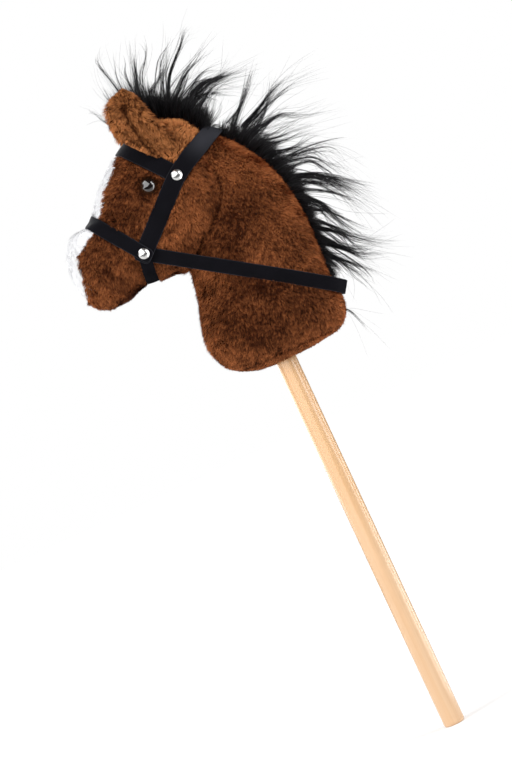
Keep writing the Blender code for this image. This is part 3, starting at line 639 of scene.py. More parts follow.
def plain_part(nodes: Nodes, name: str, ending: str, slot: str, material: Material) -> None:
    """Makes a hard part just as its solid is.

    Args:
        nodes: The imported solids.
        name: Name of the solid.
        ending: What the piece's name adds to it.
        slot: The record's material slot.
        material: The part's material.
    """
    piece = solid_copy(nodes[name], name + ending, material)
    smoothed(piece.data, 0.7)
    dress(piece, slot, HORSE, name)


def evaluated_arrays(piece: Piece) -> tuple[Array, Array, Array]:
    """Points, point normals and triangles of a piece with its modifiers.

    Args:
        piece: A mesh object.

    Returns:
        Arrays of shape (points, 3), (points, 3) and (triangles, 3).
    """
    shown = piece.evaluated_get(bpy.context.evaluated_depsgraph_get())
    mesh = shown.to_mesh()
    mesh.calc_loop_triangles()
    arrays = []
    for rows, name, kind in (
        (mesh.vertices, "co", np.float32),
        (mesh.vertex_normals, "vector", np.float32),
        (mesh.loop_triangles, "vertices", np.int32),
    ):
        values = np.empty(len(rows) * 3, kind)
        rows.foreach_get(name, values)
        arrays.append(values.reshape(-1, 3))
    shown.to_mesh_clear()
    return tuple(arrays)


def tree_of(meshes: Iterable[tuple[Array, Array]]) -> BVHTree:
    """One search tree over the faces of several meshes.

    Args:
        meshes: Points and triangles of each.

    Returns:
        The tree.
    """
    points, corners, first = [], [], 0
    for places, faces in meshes:
        points.append(places)
        corners.append(faces + first)
        first += len(places)
    return BVHTree.FromPolygons(
        np.concatenate(points).tolist(), np.concatenate(corners).tolist(), all_triangles=True
    )


def free(tree: BVHTree, places: Array, ways: Array, reach: float) -> Array:
    """Tells for each place whether it sees nothing of the tree along its way and within reach."""
    hits = (tree.ray_cast(Vector(place), Vector(way), reach)[0] for place, way in zip(places, ways))
    return np.array([hit is None for hit in hits], bool)


def unit(vectors: Array) -> Array:
    """Vectors of length one along the last axis."""
    return vectors / np.maximum(np.linalg.norm(vectors, axis=-1, keepdims=True), 1e-12)


def tangent(vectors: Array, normals: Array) -> Array:
    """The part of each vector that lies along the surface, with length one."""
    return unit(vectors - (vectors * normals).sum(-1, keepdims=True) * normals)


def ribbons(
    name: str,
    lines: Array,
    across: Array,
    half_widths: Array,
    tone: Array,
    material: Material,
    outward: Array | None = None,
) -> Piece:
    """Tapered ribbons that each end in one point, as hair or pile.

    Args:
        name: Name of the piece.
        lines: Middle lines, of shape (ribbons, stations, 3).
        across: Direction of each ribbon's width, of shape (ribbons, 3).
        half_widths: Half width at each station but the last, of shape (ribbons, stations - 1).
        tone: Tone of each ribbon, from 0 to 1.
        material: Their material.
        outward: Where given, the shading of each ribbon turns mostly to this direction.

    Returns:
        The piece, with the attributes along and tone and a map for baking with a cell for each.
    """
    count, stations, _ = lines.shape
    reach = across[:, None, :] * half_widths[:, :, None]
    sides = np.stack((lines[:, :-1] - reach, lines[:, :-1] + reach), axis=2)
    each = 2 * (stations - 1) + 1
    points = np.concatenate((sides.reshape(count, -1, 3), lines[:, -1:]), axis=1)
    quads = [(2 * s, 2 * s + 1, 2 * s + 3, 2 * s + 2) for s in range(stations - 2)]
    pattern = np.array([index for quad in quads for index in quad] + [each - 3, each - 2, each - 1])
    loops = (np.arange(count)[:, None] * each + pattern).ravel()
    loop_totals = np.tile([4] * len(quads) + [3], count)
    mesh = bpy.data.meshes.new(name)
    mesh.vertices.add(count * each)
    mesh.vertices.foreach_set("co", points.astype(np.float32).ravel())
    mesh.loops.add(len(loops))
    mesh.loops.foreach_set("vertex_index", loops.astype(np.int32))
    mesh.polygons.add(len(loop_totals))
    starts = np.concatenate(([0], np.cumsum(loop_totals)[:-1]))
    mesh.polygons.foreach_set("loop_start", starts.astype(np.int32))
    mesh.update(calc_edges=True)
    mesh.shade_smooth()
    share = np.append(np.repeat(np.arange(stations - 1), 2), stations - 1) / (stations - 1)
    for key, values in (("along", np.tile(share, count)), ("tone", np.repeat(tone, each))):
        attribute = mesh.attributes.new(key, "FLOAT", "POINT")
        attribute.data.foreach_set("value", values.astype(np.float32))
    grid = math.ceil(math.sqrt(count))
    cell = np.stack((np.arange(count) % grid, np.arange(count) // grid), axis=1)
    edges = np.append(np.tile((0.15, 0.85), stations - 1), 0.5)
    inside = np.stack((edges, 0.1 + 0.8 * share), axis=1)
    placed = (cell[:, None, :] + inside[None]) / grid
    bake = mesh.uv_layers.new(name="OFBake")
    bake.data.foreach_set("uv", placed.reshape(-1, 2)[loops].astype(np.float32).ravel())
    if outward is not None:
        mesh.normals_split_custom_set_from_vertices(np.repeat(outward, each, axis=0).tolist())
    return add_piece(name, mesh, material)


# Side view


# Lines and edges have X and Z of their corners. Spots have X, Z, radius and strength. Tables of
# lengths have a place and the factor on the length there.
PLACE = (10000, 10000)
SPOT = (*PLACE, 10000, 100)


def table(scales: Sequence[int], *rows: Sequence[int]) -> Array:
    """Rows of whole numbers, such as places in tenths of a millimetre, divided by their scales."""
    return np.array(rows) / scales


FACE_EDGE = table(
    PLACE, (-1900, 6000), (-1740, 6120), (-1710, 6240), (-1635, 6620), (-1380, 6760), (-1175, 6945),
    (-1045, 7140), (-870, 7300), (-750, 7440), (-660, 7650),
)
JOWL_CREASE = table(
    PLACE, (179, 6867), (167, 6700), (136, 6580), (33, 6440), (-130, 6270), (-270, 6240),
    (-390, 6130), (-570, 6000),
)
TEAR_CREASE = table(PLACE, (-644, 7040), (-678, 6968), (-698, 6884), (-660, 6850))
EAR_CREASE = table(PLACE, (-462, 7884), (-466, 7705), (-442, 7476), (-382, 7310))
MUZZLE_CREASE = table(PLACE, (-1080, 6030), (-1190, 6030), (-1320, 6000), (-1460, 5950))
THROAT = table(PLACE, (-550, 5980), (-590, 5850), (-640, 5600), (-670, 5360), (-660, 5050))
BROWBAND_TOP = table(PLACE, (-644, 7529), (-238, 7064))
EYE_MIDDLE = (-0.0578, 0.6986)
EYE_REACH = 0.0095
CROWN_LENGTHS = table((1000, 100), (-60, 100), (-25, 95), (-10, 72), (8, 80), (20, 115), (34, 150))
COAT_LENGTHS = table(
    SPOT, (-500, 4660, 160, -60), (-160, 4580, 200, -28), (200, 4580, 200, -28),
    (560, 4610, 200, -28), (-720, 5940, 120, -55),
)
EAR_LENGTHS = table(
    (*PLACE, 100), (-367, 8060, 10), (-470, 8040, 45), (-575, 7970, 120), (-640, 7860, 95),
    (-660, 7750, 100), (-650, 7650, 70), (-630, 7560, 42), (-560, 7440, 30), (-450, 7360, 50),
    (-450, 7860, 90), (-480, 7650, 100), (-350, 7500, 100), (-300, 7700, 90), (-280, 7950, 60),
    (-220, 7800, 75), (-100, 7600, 90),
)
# Spots that lighten or darken the pile's tone. Most are painted light and shade: painted shadows
# under the reins and the jowl, painted shade around the eye, under the ear and along the muzzle's
# fold, and painted light along the crest and the rims of the neck. The rest are broad darker and
# paler patches of the coat.
TONE_AND_PAINTED_LIGHT_SPOTS = table(
    SPOT, (-950, 6820, 220, -30), (-1380, 6400, 200, -26), (100, 6320, 260, -26),
    (300, 5900, 280, -12), (30, 5040, 450, -30), (-400, 5300, 220, -14), (-270, 6520, 220, 34),
    (-100, 6800, 160, 24), (450, 6720, 280, 34), (740, 6100, 180, 24), (-750, 6400, 140, 18),
    (-1500, 6000, 160, 16), (-93, 7268, 90, -50), (500, 6940, 180, 50), (740, 6500, 140, 38),
    (840, 6100, 120, 30), (340, 6340, 200, -20), (-520, 4780, 140, 30), (-660, 5050, 120, 22),
    (-200, 4660, 130, 40), (120, 4640, 130, 42), (440, 4660, 140, 44), (740, 4780, 140, 46),
    (-200, 4880, 180, -16), (450, 5900, 450, 13), (-900, 6650, 300, -6), (-1160, 6030, 60, -38),
    (-1300, 6000, 50, -36), (-1430, 5960, 50, -30), (-578, 6986, 98, -100), (420, 7060, 90, 45),
    (700, 6700, 110, 34), (180, 6870, 100, 34), (1040, 6140, 120, 42), (1010, 5840, 120, 45),
    (920, 5600, 120, 45), (850, 5360, 120, 45), (790, 5000, 100, 30), (-30, 6020, 180, -38),
    (50, 5820, 120, -20), (-100, 5500, 110, -34), (100, 5430, 110, -34), (300, 5340, 110, -32),
    (480, 5270, 100, -20), (-880, 6460, 100, 25),
)


class Zone(Enum):
    """Parts of the plush that carry different pile."""

    COAT = "coat"
    BLAZE = "blaze"
    CROWN = "crown"


def waves(places: Array, length: float, seed: int) -> Array:
    """Smooth random numbers from -1 to 1 at places.

    Args:
        places: Points of shape (count, 3).
        length: About the width of one patch.
        seed: Picks the pattern.

    Returns:
        One number a place.
    """
    random = np.random.default_rng(seed)
    total = np.zeros(len(places))
    for _ in range(WAVES):
        way = unit(random.normal(size=3)) * random.uniform(0.7, 1.6) * math.tau / (2 * length)
        total += np.sin(places @ way + random.uniform(0, math.tau))
    return np.clip(total / HIGHEST_WAVE, -1, 1)


def zone_of(places: Array) -> Array:
    """The zone of each place, in the side view.

    Args:
        places: Points of shape (count, 3).

    Returns:
        An array of zones.
    """
    x, z = places[:, 0], places[:, 2]
    jagged = 0.0016 * waves(places, 0.0022, 5)
    white = x < np.interp(z, FACE_EDGE[:, 1], FACE_EDGE[:, 0]) + jagged
    over_browband = z > 0.764 - 1.03 * (x + 0.078)
    over_headpiece = z > 0.702 + 0.57 * (x + 0.020)
    zones = np.full(len(places), Zone.COAT, object)
    zones[over_browband & over_headpiece & (x < 0.036)] = Zone.CROWN
    zones[white] = Zone.BLAZE
    return zones


def distance_to_line(places: Array, line: Array) -> Array:
    """Distance of each place to a line of the side view.

    Args:
        places: Points of shape (count, 3).
        line: Its corners.

    Returns:
        One distance a place.
    """
    flat = places[:, (0, 2)]
    nearest = np.full(len(places), np.inf)
    for start, end in zip(line, line[1:]):
        way = end - start
        share = np.clip((flat - start) @ way / (way @ way), 0, 1)
        nearest = np.minimum(nearest, np.linalg.norm(flat - start - share[:, None] * way, axis=1))
    return nearest


def crease_at(places: Array) -> Array:
    """How deep in a crease each place lies, from 0 to 1.

    Args:
        places: Points of shape (count, 3).

    Returns:
        One number a place.
    """
    lines = ((JOWL_CREASE, 1.0), (TEAR_CREASE, 1.3), (EAR_CREASE, 0.7), (MUZZLE_CREASE, 0.5))
    away = np.min([part * distance_to_line(places, line) for line, part in lines], axis=0)
    return np.exp(-((away / CREASE_WIDTH) ** 2))


def spotted(places: Array, spots: Array) -> Array:
    """The sum of soft round spots of the side view at each place.

    Args:
        places: Points of shape (count, 3).
        spots: Rows of X, Z, radius and strength.

    Returns:
        One number a place.
    """
    total = np.zeros(len(places))
    for x, z, radius, strength in spots:
        away = np.hypot(places[:, 0] - x, places[:, 2] - z) / radius
        total += strength * np.exp(-(away**2))
    return total


# Plush


def crossed(corners: Array) -> Array:
    """An outward vector for each triangle, as long as twice its area."""
    return np.cross(corners[:, 1] - corners[:, 0], corners[:, 2] - corners[:, 0])


@dataclass
class Ground:
    """Outer faces of a cloth, on which pile can be planted."""

    corners: Array
    normals: Array

    @classmethod
    def of(cls, piece: Piece, covered_by: BVHTree, clear: float = 0.008) -> Ground:
        """Finds the faces that nothing covers.

        Args:
            piece: The cloth.
            covered_by: Tree of all cloths and fillings.
            clear: How far out a face has to be free.

        Returns:
            The ground.
        """
        points, normals, faces = evaluated_arrays(piece)
        corners = points[faces]
        flat = unit(crossed(corners))
        kept = free(covered_by, corners.mean(axis=1) + OFF_THE_CLOTH * flat, flat, clear)
        return cls(corners[kept], normals[faces][kept])

    def area(self) -> float:
        """Area in square metres."""
        return float(np.linalg.norm(crossed(self.corners), axis=1).sum() / 2)

    def scatter(self, count: int, random: Random) -> tuple[Array, Array]:
        """Even random places on the ground.

        Args:
            count: How many.
            random: The random numbers' source.

        Returns:
            Places and outward directions, both of shape (count, 3).
        """
        area = np.linalg.norm(crossed(self.corners), axis=1)
        face = random.choice(len(area), size=count, p=area / area.sum())
        first, second = random.random((2, count))
        root = np.sqrt(first)
        share = np.stack((1 - root, root * (1 - second), root * second), axis=1)[:, :, None]
        return (self.corners[face] * share).sum(1), unit((self.normals[face] * share).sum(1))


@dataclass(frozen=True)
class Harness:
    """What presses on the pile: the fixed straps and eyes, and the reins wherever they swing."""

    fixed: BVHTree
    reins: BVHTree

    @classmethod
    def of(cls, fixed: Iterable[Piece], reins: Piece, joint: dict[str, object]) -> Harness:
        """Gathers it.

        Args:
            fixed: The straps and eyes that stay.
            reins: The reins at rest.
            joint: The row's joint of the reins.

        Returns:
            The harness, with the reins at every few degrees.
        """
        points, _, corners = evaluated_arrays(reins)
        pivot = np.array(joint["pos_m"])
        least, most = (math.radians(end) for end in joint["range_deg"])
        turns = (
            np.array(Matrix.Rotation(turn, 3, Vector(joint["axis"])))
            for turn in np.linspace(least, most, REIN_STEPS)
        )
        swept = tree_of(((points - pivot) @ turn.T + pivot, corners) for turn in turns)
        return cls(tree_of(evaluated_arrays(piece)[::2] for piece in fixed), swept)


@dataclass
class Pile:
    """How the strands of one plush stand."""

    finish: Material
    slot: str
    length: float = 0.0066
    half_width: float = 0.00028
    density: float = 2.7e6
    lean: float = 0.70
    tuft: float = 0.0017
    pull: float = 0.62
    tone: float = 0.45
    tone_range: float = 0.66
    patches: float = 0.14
    soft_shading: float = 0.6
    stir: float = 0.40
    twist: float = 0.45
    longer: Callable[[Array], Array] | None = None
    stays_above: Array | None = None
    crease_depth: float = 0.5
    upright: float = 0.62
    cleared: float = 0.88
    clear: float = 0.006
    overhead: float = 0.008
    uneven: float = 0.16
    most: int = 62000

    @property
    def planted(self) -> float:
        return self.density * 1.0

    def grow(
        self, name: str, ground: Ground, nap: Nap, harness: Harness, seed: int,
        zone: Zone | None = None,
    ) -> None:
        """Plants the strands.

        Args:
            name: Name of the piece, or start of the names of several.
            ground: Where they grow.
            nap: Gives the way that they lean for places and outward directions.
            harness: The straps, eyes and reins that press on the pile.
            seed: Picks the random numbers.
            zone: The zone that they fill, or None for all of the ground.
        """
        random = np.random.default_rng(seed)
        places, normals = ground.scatter(int(ground.area() * self.planted), random)
        if zone is not None:
            kept = zone_of(places) == zone
            places, normals = places[kept], normals[kept]
        kept = free(harness.fixed, places, normals, self.clear)
        places, normals = places[kept], normals[kept]
        count = len(places)
        if count < FEWEST_STRANDS:
            return
        crease = crease_at(places) * self.crease_depth
        ways = tangent(nap(places, normals) + self.stir * random.normal(size=(count, 3)), normals)
        lean = np.clip(self.lean + self.uneven * random.normal(size=count), 0.05, 1.25)[:, None]
        length = self.length * (1 + self.uneven * random.normal(size=count)) * (1 - 0.6 * crease)
        if self.longer is not None:
            length = length * self.longer(places)
        length = length[:, None]
        lower, upper = (
            0.5 * length * unit(normals * np.cos(bent * lean) + ways * np.sin(bent * lean))
            for bent in (0.6, 1.35)
        )
        middle = places + lower
        tips = middle + upper
        tips, tone = self.gather(places, tips, random)
        # Painted shade: strands in creases are darkened as well as shortened; the spots add their
        # painted light and shade.
        tone = np.clip(tone + spotted(places, TONE_AND_PAINTED_LIGHT_SPOTS) - 0.9 * crease, 0, 1)
        self.step_aside(places, normals, middle, tips, harness.fixed, random)
        if self.stays_above is not None:
            middle, tips = self.keep_above(places, middle, tips)
        for ends in (middle, tips):
            self.lie_under(places, normals, ends, harness.reins)
        strand = unit(tips - places)
        across = unit(np.cross(strand, normals + self.twist * random.normal(size=(count, 3))))
        facing = unit(np.cross(across, strand))
        facing *= np.where((facing * normals).sum(1) < 0, -1, 1)[:, None]
        facing = unit(self.soft_shading * normals + (1 - self.soft_shading) * facing)
        widths = self.half_width * random.uniform(0.7, 1.2, count)[:, None] * (1.0, 0.85)
        lines = np.stack((places, middle, tips), axis=1)
        shares = np.array_split(np.argsort(places[:, 2]), math.ceil(count / self.most))
        for number, rows in enumerate(shares):
            part = name if len(shares) == 1 else f"{name}_{number + 1}"
            shown = (values[rows] for values in (lines, across, widths, tone))
            dress(ribbons(part, *shown, self.finish, facing[rows]), self.slot)

    def gather(self, places: Array, tips: Array, random: Random) -> tuple[Array, Array]:
        """Draws the tips together in tufts.

        Args:
            places: Roots.
            tips: Free tips.
            random: The random numbers' source.

        Returns:
            The new tips, and each strand's tone.
        """
        count = len(places)
        number = max(1, int(count / (self.planted * self.tuft**2)))
        chosen = random.choice(count, size=number, replace=False)
        tree = KDTree(number)
        for index, place in enumerate(places[chosen]):
            tree.insert(place, index)
        tree.balance()
        nearest = np.array([tree.find(place)[1] for place in places])
        pull = self.pull * random.uniform(0.4, 1.0, count)[:, None]
        drawn = tips + pull * (tips[chosen[nearest]] - tips)
        tuft_tone = random.random(number)[nearest]
        tone = self.tone + self.tone_range * (tuft_tone - 0.5) + 0.4 * (random.random(count) - 0.5)
        tone += self.patches * (waves(places, 0.016, 7) + 0.8 * waves(places, 0.005, 8))
        return drawn, tone

    def step_aside(
        self, places: Array, normals: Array, middle: Array, tips: Array, covers: BVHTree,
        random: Random,
    ) -> None:
        """Stands up or shortens the strands that would cut through a strap or an eye, or cover it.

        Args:
            places: Roots.
            normals: Outward directions.
            middle: Middles, which are changed.
            tips: Tips, which are changed.
            covers: Tree of what they have to clear.
            random: The random numbers' source.
        """
        chance = random.random(len(places))
        for index, place in enumerate(places):
            root = Vector(place)
            nearest = covers.find_nearest(root, self.length * 1.6)[0]
            if nearest is None:
                continue
            if (nearest - Vector((EYE_MIDDLE[0], nearest.y, EYE_MIDDLE[1]))).length < EYE_REACH:
                near = min(1.0, 0.10 + ((nearest - root).length / self.length) * 0.70)
                for ends in (middle, tips):
                    ends[index] = place + near * (ends[index] - place)
            tip = Vector(tips[index])
            way = tip - root
            through = covers.ray_cast(root, way.normalized(), way.length + 0.0004)[0] is not None
            over = covers.ray_cast(tip, -Vector(normals[index]), self.overhead)[0] is not None
            if through or (over and chance[index] < self.cleared):
                up = self.length * self.upright
                middle[index] = place + 0.5 * up * normals[index]
                tips[index] = place + up * normals[index]

    def keep_above(self, places: Array, middle: Array, tips: Array) -> tuple[Array, Array]:
        """Shortens the strands that would hang under a line of the side view.

        Args:
            places: Roots.
            middle: Middles.
            tips: Tips.

        Returns:
            The new middles and tips.
        """
        (x1, z1), (x2, z2) = self.stays_above
        out = np.array((z1 - z2, 0.0, x2 - x1)) / math.hypot(x2 - x1, z2 - z1)
        height = (places - (x1, 0.0, z1)) @ out
        drop = np.maximum(height - (tips - (x1, 0.0, z1)) @ out, 1e-9)
        kept = np.clip(height / drop, 0.2, 1.0)[:, None]
        return places + kept * (middle - places), places + kept * (tips - places)

    @staticmethod
    def lie_under(places: Array, normals: Array, ends: Array, reins: BVHTree) -> None:
        """Lays the strands flatter where the reins pass close over them.

        Args:
            places: Roots.
            normals: Outward directions.
            ends: Middles or tips, which are changed.
            reins: Tree of the reins wherever they swing.
        """
        heights = ((ends - places) * normals).sum(axis=1)
        feet = ends - heights[:, None] * normals
        for index, foot in enumerate(feet):
            room = reins.ray_cast(Vector(foot), Vector(normals[index]), REIN_REACH)[3]
            if room is not None:
                lowered = max(room - REIN_GAP, FLATTEST)
                ends[index] += min(lowered - heights[index], 0.0) * normals[index]


def combed(way: Sequence[float], stir: float = 0.5) -> Nap:
    """A nap that runs one way with slow swirls.

    Args:
        way: The way that it runs.
        stir: How strong the swirls are.

    Returns:
        The nap's function.
    """

    def nap(places: Array, normals: Array) -> Array:
        """The way of the strands at each place."""
        swirl = np.stack([waves(places, 0.014, seed) for seed in (11, 12, 13)], axis=1)
        return tangent(np.array(way) + stir * swirl + 0.02, normals)

    return nap


def ear_nap(nap: Nap) -> Nap:
    """The ear's nap, with a whorl and turned away from its crease on both sides.

    Args:
        nap: The coat's nap.

    Returns:
        The nap's function.
    """

    def turned(places: Array, normals: Array) -> Array:
        """The way of the strands at each place.

        Args:
            places: Roots.
            normals: Outward directions.

        Returns:
            One direction a place.
        """
        crease_x, crease_z = EAR_CREASE[::-1].T
        aside = places[:, 0] - np.interp(places[:, 2], crease_z, crease_x)
        push = np.clip(aside / 0.006, -1, 1)[:, None] * np.array((0.8, 0.0, 0.2))
        from_whorl = (places - (EAR_CREASE[0, 0], 0.0, EAR_CREASE[0, 1])) * (1.0, 0.0, 1.0)
        away = np.linalg.norm(from_whorl, axis=1, keepdims=True)
        whorl = 2.2 * np.exp(-((away / 0.022) ** 2)) * from_whorl / np.maximum(away, 1e-6)
        return tangent(nap(places, normals) + push + whorl, normals)

    return turned


def ear_pile(places: Array) -> Array:
    """How long the ear's pile is: longest at the upper front and short at the tip and lower front.

    Args:
        places: Roots.

    Returns:
        One factor a place.
    """
    away = np.linalg.norm(places[:, None, (0, 2)] - EAR_LENGTHS[None, :, :2], axis=2)
    weight = np.exp(-((away / 0.008) ** 2)) + 1e-9
    return (weight * EAR_LENGTHS[:, 2]).sum(axis=1) / weight.sum(axis=1)


def shaggier(places: Array) -> Array:
    """How long the coat's pile is: longer down the throat, shorter under the jaw and the neck."""
    throat = np.exp(-((distance_to_line(places, THROAT) / 0.010) ** 2))
    return 1 + 0.5 * throat + spotted(places, COAT_LENGTHS)


@dataclass
class Cloth:
    """A sewn panel or other soft solid, made smooth."""

    node: str
    slot: str
    finish: Material
    fill: float = 0.8

    def build(self, nodes: Nodes) -> Piece:
        """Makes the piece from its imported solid.

        Args:
            nodes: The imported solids.

        Returns:
            The piece, with its rims kept sharp.
        """
        piece = solid_copy(nodes[self.node], self.node + "_cloth", self.finish)
        with reshaped(piece.data) as shape:
            crease = shape.edges.layers.float.new("crease_edge")
            for edge in sharp_edges(shape, PANEL_ANGLE):
                edge[crease] = 1.0
        smoothed(piece.data, PANEL_ANGLE)
        smooth = piece.modifiers.new("smooth", "SUBSURF")
        smooth.levels = smooth.render_levels = 1
        dress(piece, self.slot, HORSE, self.node)
        return piece


@dataclass
class Plush:
    """The sewn head, neck and ears with their pile."""

    nodes: Nodes
    harness: Harness
    brown: StrandFinish = StrandFinish(
        "brown_pile", (0.060, 0.017, 0.006), (0.39, 0.118, 0.037), (0.66, 0.224, 0.080),
        (0.11, 0.085, 0.09),
    )
    cinnamon: StrandFinish = StrandFinish(
        "cinnamon_pile", (0.12, 0.038, 0.012), (0.54, 0.190, 0.060), (0.80, 0.330, 0.120),
        (0.16, 0.13, 0.12),
    )
    white: StrandFinish = StrandFinish(
        "white_pile", (0.97, 0.97, 0.98), (0.98, 0.98, 0.99), (0.99, 0.99, 1.00), (0.98, 0.98, 0.99)
    )
    brown_cloth: GrainFinish = GrainFinish(
        "brown_backing", (0.030, 0.009, 0.003), (0.075, 0.024, 0.008)
    )
    ear_cloth: GrainFinish = GrainFinish(
        "ear_backing", (0.080, 0.027, 0.009), (0.160, 0.056, 0.019)
    )
    white_cloth: GrainFinish = GrainFinish(
        "white_backing", (0.95, 0.95, 0.96), (0.99, 0.99, 1.00), tufted=True
    )
    fibre: GrainFinish = GrainFinish(
        "stuffing_fibre", (0.74, 0.73, 0.70), (0.90, 0.89, 0.86), 260.0
    )

    def build(self) -> None:
        """Makes every cloth, then plants the pile on what shows of them."""
        backing, warm, pale, fibre = (
            f.build() for f in (self.brown_cloth, self.ear_cloth, self.white_cloth, self.fibre)
        )
        brown, cinnamon, white = (f.build() for f in (self.brown, self.cinnamon, self.white))
        plain = ("neck_skin_left", "neck_skin_right", "neck_base_panel", "chin_gusset")
        mixed = ("head_skin_left", "head_skin_right", "crown_gusset", "blaze_gusset")
        ears = ("ear_back_left", "ear_back_right", "ear_lining_left", "ear_lining_right")
        face = FaceFinish(self.brown_cloth, self.white_cloth).build()
        finishes = dict.fromkeys(plain + mixed, backing) | dict.fromkeys(ears, warm)
        finishes |= {"head_skin_left": face, "head_skin_right": face, "blaze_gusset": pale}
        cloths = {}
        for name, finish in finishes.items():
            slot = "white_plush" if finish is pale else "brown_plush"
            cloths[name] = Cloth(name, slot, finish).build(self.nodes)
        stuffing = [
            Cloth(name, "filling_fibre", fibre, 0.9).build(self.nodes)
            for name in ("neck_filling", "head_filling")
        ]
        soft = (*cloths.values(), *stuffing)
        everything = tree_of(evaluated_arrays(piece)[::2] for piece in soft)
        down = combed(DOWN_IN_PICTURE)
        coat = Pile(brown, "brown_plush", longer=shaggier)
        blaze = Pile(
            white, "white_plush", length=0.0046, density=0.9e6, lean=1.22, tone=0.92,
            tone_range=0.10, patches=0.0, crease_depth=0.0, pull=0.05, soft_shading=0.5, stir=0.20,
            twist=0.12,
        )
        # The crown's pile is paler than the ear's: painted light on the top of the head.
        crown = Pile(
            cinnamon, "brown_plush", length=0.0090, half_width=0.00034, density=2.1e6, lean=0.55,
            tuft=0.0030, pull=0.66, tone=0.98, crease_depth=0.0,
            longer=lambda places: np.interp(places[:, 0], *CROWN_LENGTHS.T),
        )
        ear_coat = Pile(
            cinnamon, "brown_plush", length=0.0094, half_width=0.00034, density=2.4e6, lean=0.74,
            tuft=0.0030, pull=0.66, tone=0.60, crease_depth=0.7, stays_above=BROWBAND_TOP,
            longer=ear_pile,
        )
        zones = (
            (Zone.COAT, coat, down), (Zone.BLAZE, blaze, down),
            (Zone.CROWN, crown, combed((0.35, 0.0, 0.6))),
        )
        seed = 0
        for names, clear, piles in (
            (plain, 0.008, ((None, coat, down),)),
            (mixed, 0.008, zones),
            (ears, 0.003, ((None, ear_coat, ear_nap(down)),)),
        ):
            for name in names:
                ground = Ground.of(cloths[name], everything, clear)
                for zone, pile, nap in piles:
                    ending = zone.value if zone else "pile"
                    pile.grow(f"{name}_{ending}", ground, nap, self.harness, seed, zone)
                    seed += 1


# Hair


@dataclass(frozen=True)
class Lock:
    """A lock of hair: its route in the side view, how many hairs it has and how far it opens."""

    route: Array
    hairs: int
    spread: float
    sideways: float
    root: float


def locks(*rows: tuple[int, ...]) -> tuple[Lock, ...]:
    """Locks of hair from whole numbers.

    Args:
        *rows: Each one's hairs, spread in tenths of a millimetre, lean to the side and width of its
            root in percent, then X and Z of the places on its route.

    Returns:
        The locks.
    """
    return tuple(
        Lock(np.reshape(route, (-1, 2)) / PLACE, hairs, spread / 10000, sideways / 100, root / 100)
        for hairs, spread, sideways, root, *route in rows
    )


MANE_LOCKS = locks(
    (26, 25, -20, 100, 603, 7262, 756, 7408, 937, 7590, 1126, 7804),
    (34, 30, 10, 100, 545, 7241, 717, 7378, 898, 7559, 1079, 7765),
    (110, 60, 5, 100, 650, 7155, 892, 7260, 1134, 7365, 1373, 7411, 1736, 7364),
    (70, 60, -15, 100, 676, 7107, 909, 7192, 1100, 7345, 1283, 7477),
    (55, 60, 15, 100, 692, 7064, 896, 7113, 1121, 7130, 1335, 7018, 1659, 6935),
    (30, 80, -25, 100, 728, 7011, 933, 7036, 1168, 7023, 1538, 6935),
    (40, 60, 25, 100, 773, 6953, 975, 6920, 1240, 6917, 1604, 6869),
    (34, 70, -10, 100, 805, 6866, 987, 6842, 1198, 6828, 1572, 6799),
    (36, 70, 30, 100, 870, 6741, 1114, 6698, 1330, 6694, 1514, 6572, 1689, 6273),
    (60, 60, 0, 100, 890, 6678, 1164, 6650, 1412, 6559, 1558, 6407, 1652, 6194),
    (50, 60, -20, 100, 900, 6586, 1202, 6524, 1364, 6352, 1486, 6199, 1561, 5946),
    (130, 60, 10, 100, 900, 6428, 1168, 6347, 1378, 6176, 1531, 5984, 1671, 5714),
    (90, 60, -15, 100, 910, 6380, 1165, 6288, 1375, 6117, 1502, 5974, 1610, 5791),
    (28, 60, 30, 100, 920, 6263, 1204, 6112, 1384, 5980, 1466, 5845, 1480, 5694),
    (90, 60, -5, 100, 920, 6194, 1099, 5992, 1213, 5770, 1326, 5596, 1439, 5423),
    (50, 60, 20, 100, 925, 6047, 1111, 5914, 1215, 5721, 1309, 5508, 1451, 5345),
    (120, 60, -10, 100, 915, 5871, 1128, 5689, 1260, 5506, 1411, 5364, 1556, 5260),
    (110, 60, 10, 100, 905, 5734, 1093, 5511, 1255, 5340, 1428, 5295, 1630, 5262),
    (60, 60, -20, 100, 900, 5645, 1099, 5472, 1244, 5369, 1395, 5226, 1577, 5045),
    (80, 50, 15, 100, 895, 5576, 1068, 5354, 1181, 5181, 1274, 5017, 1307, 4880),
    (40, 50, -15, 100, 890, 5478, 1021, 5304, 1124, 5130, 1286, 4958),
    (60, 30, 5, 100, 885, 5419, 961, 5322, 993, 5239, 986, 5165),
    (12, 45, 0, 25, 810, 4841, 894, 4757, 948, 4595, 990, 4400),
    (26, 12, 5, 30, 290, 7290, 376, 7344, 442, 7313, 473, 7208),
    (20, 12, -10, 30, 300, 7270, 360, 7300, 430, 7275, 490, 7190),
    (30, 25, 0, 50, 380, 7120, 440, 7240, 540, 7330, 640, 7370),
)
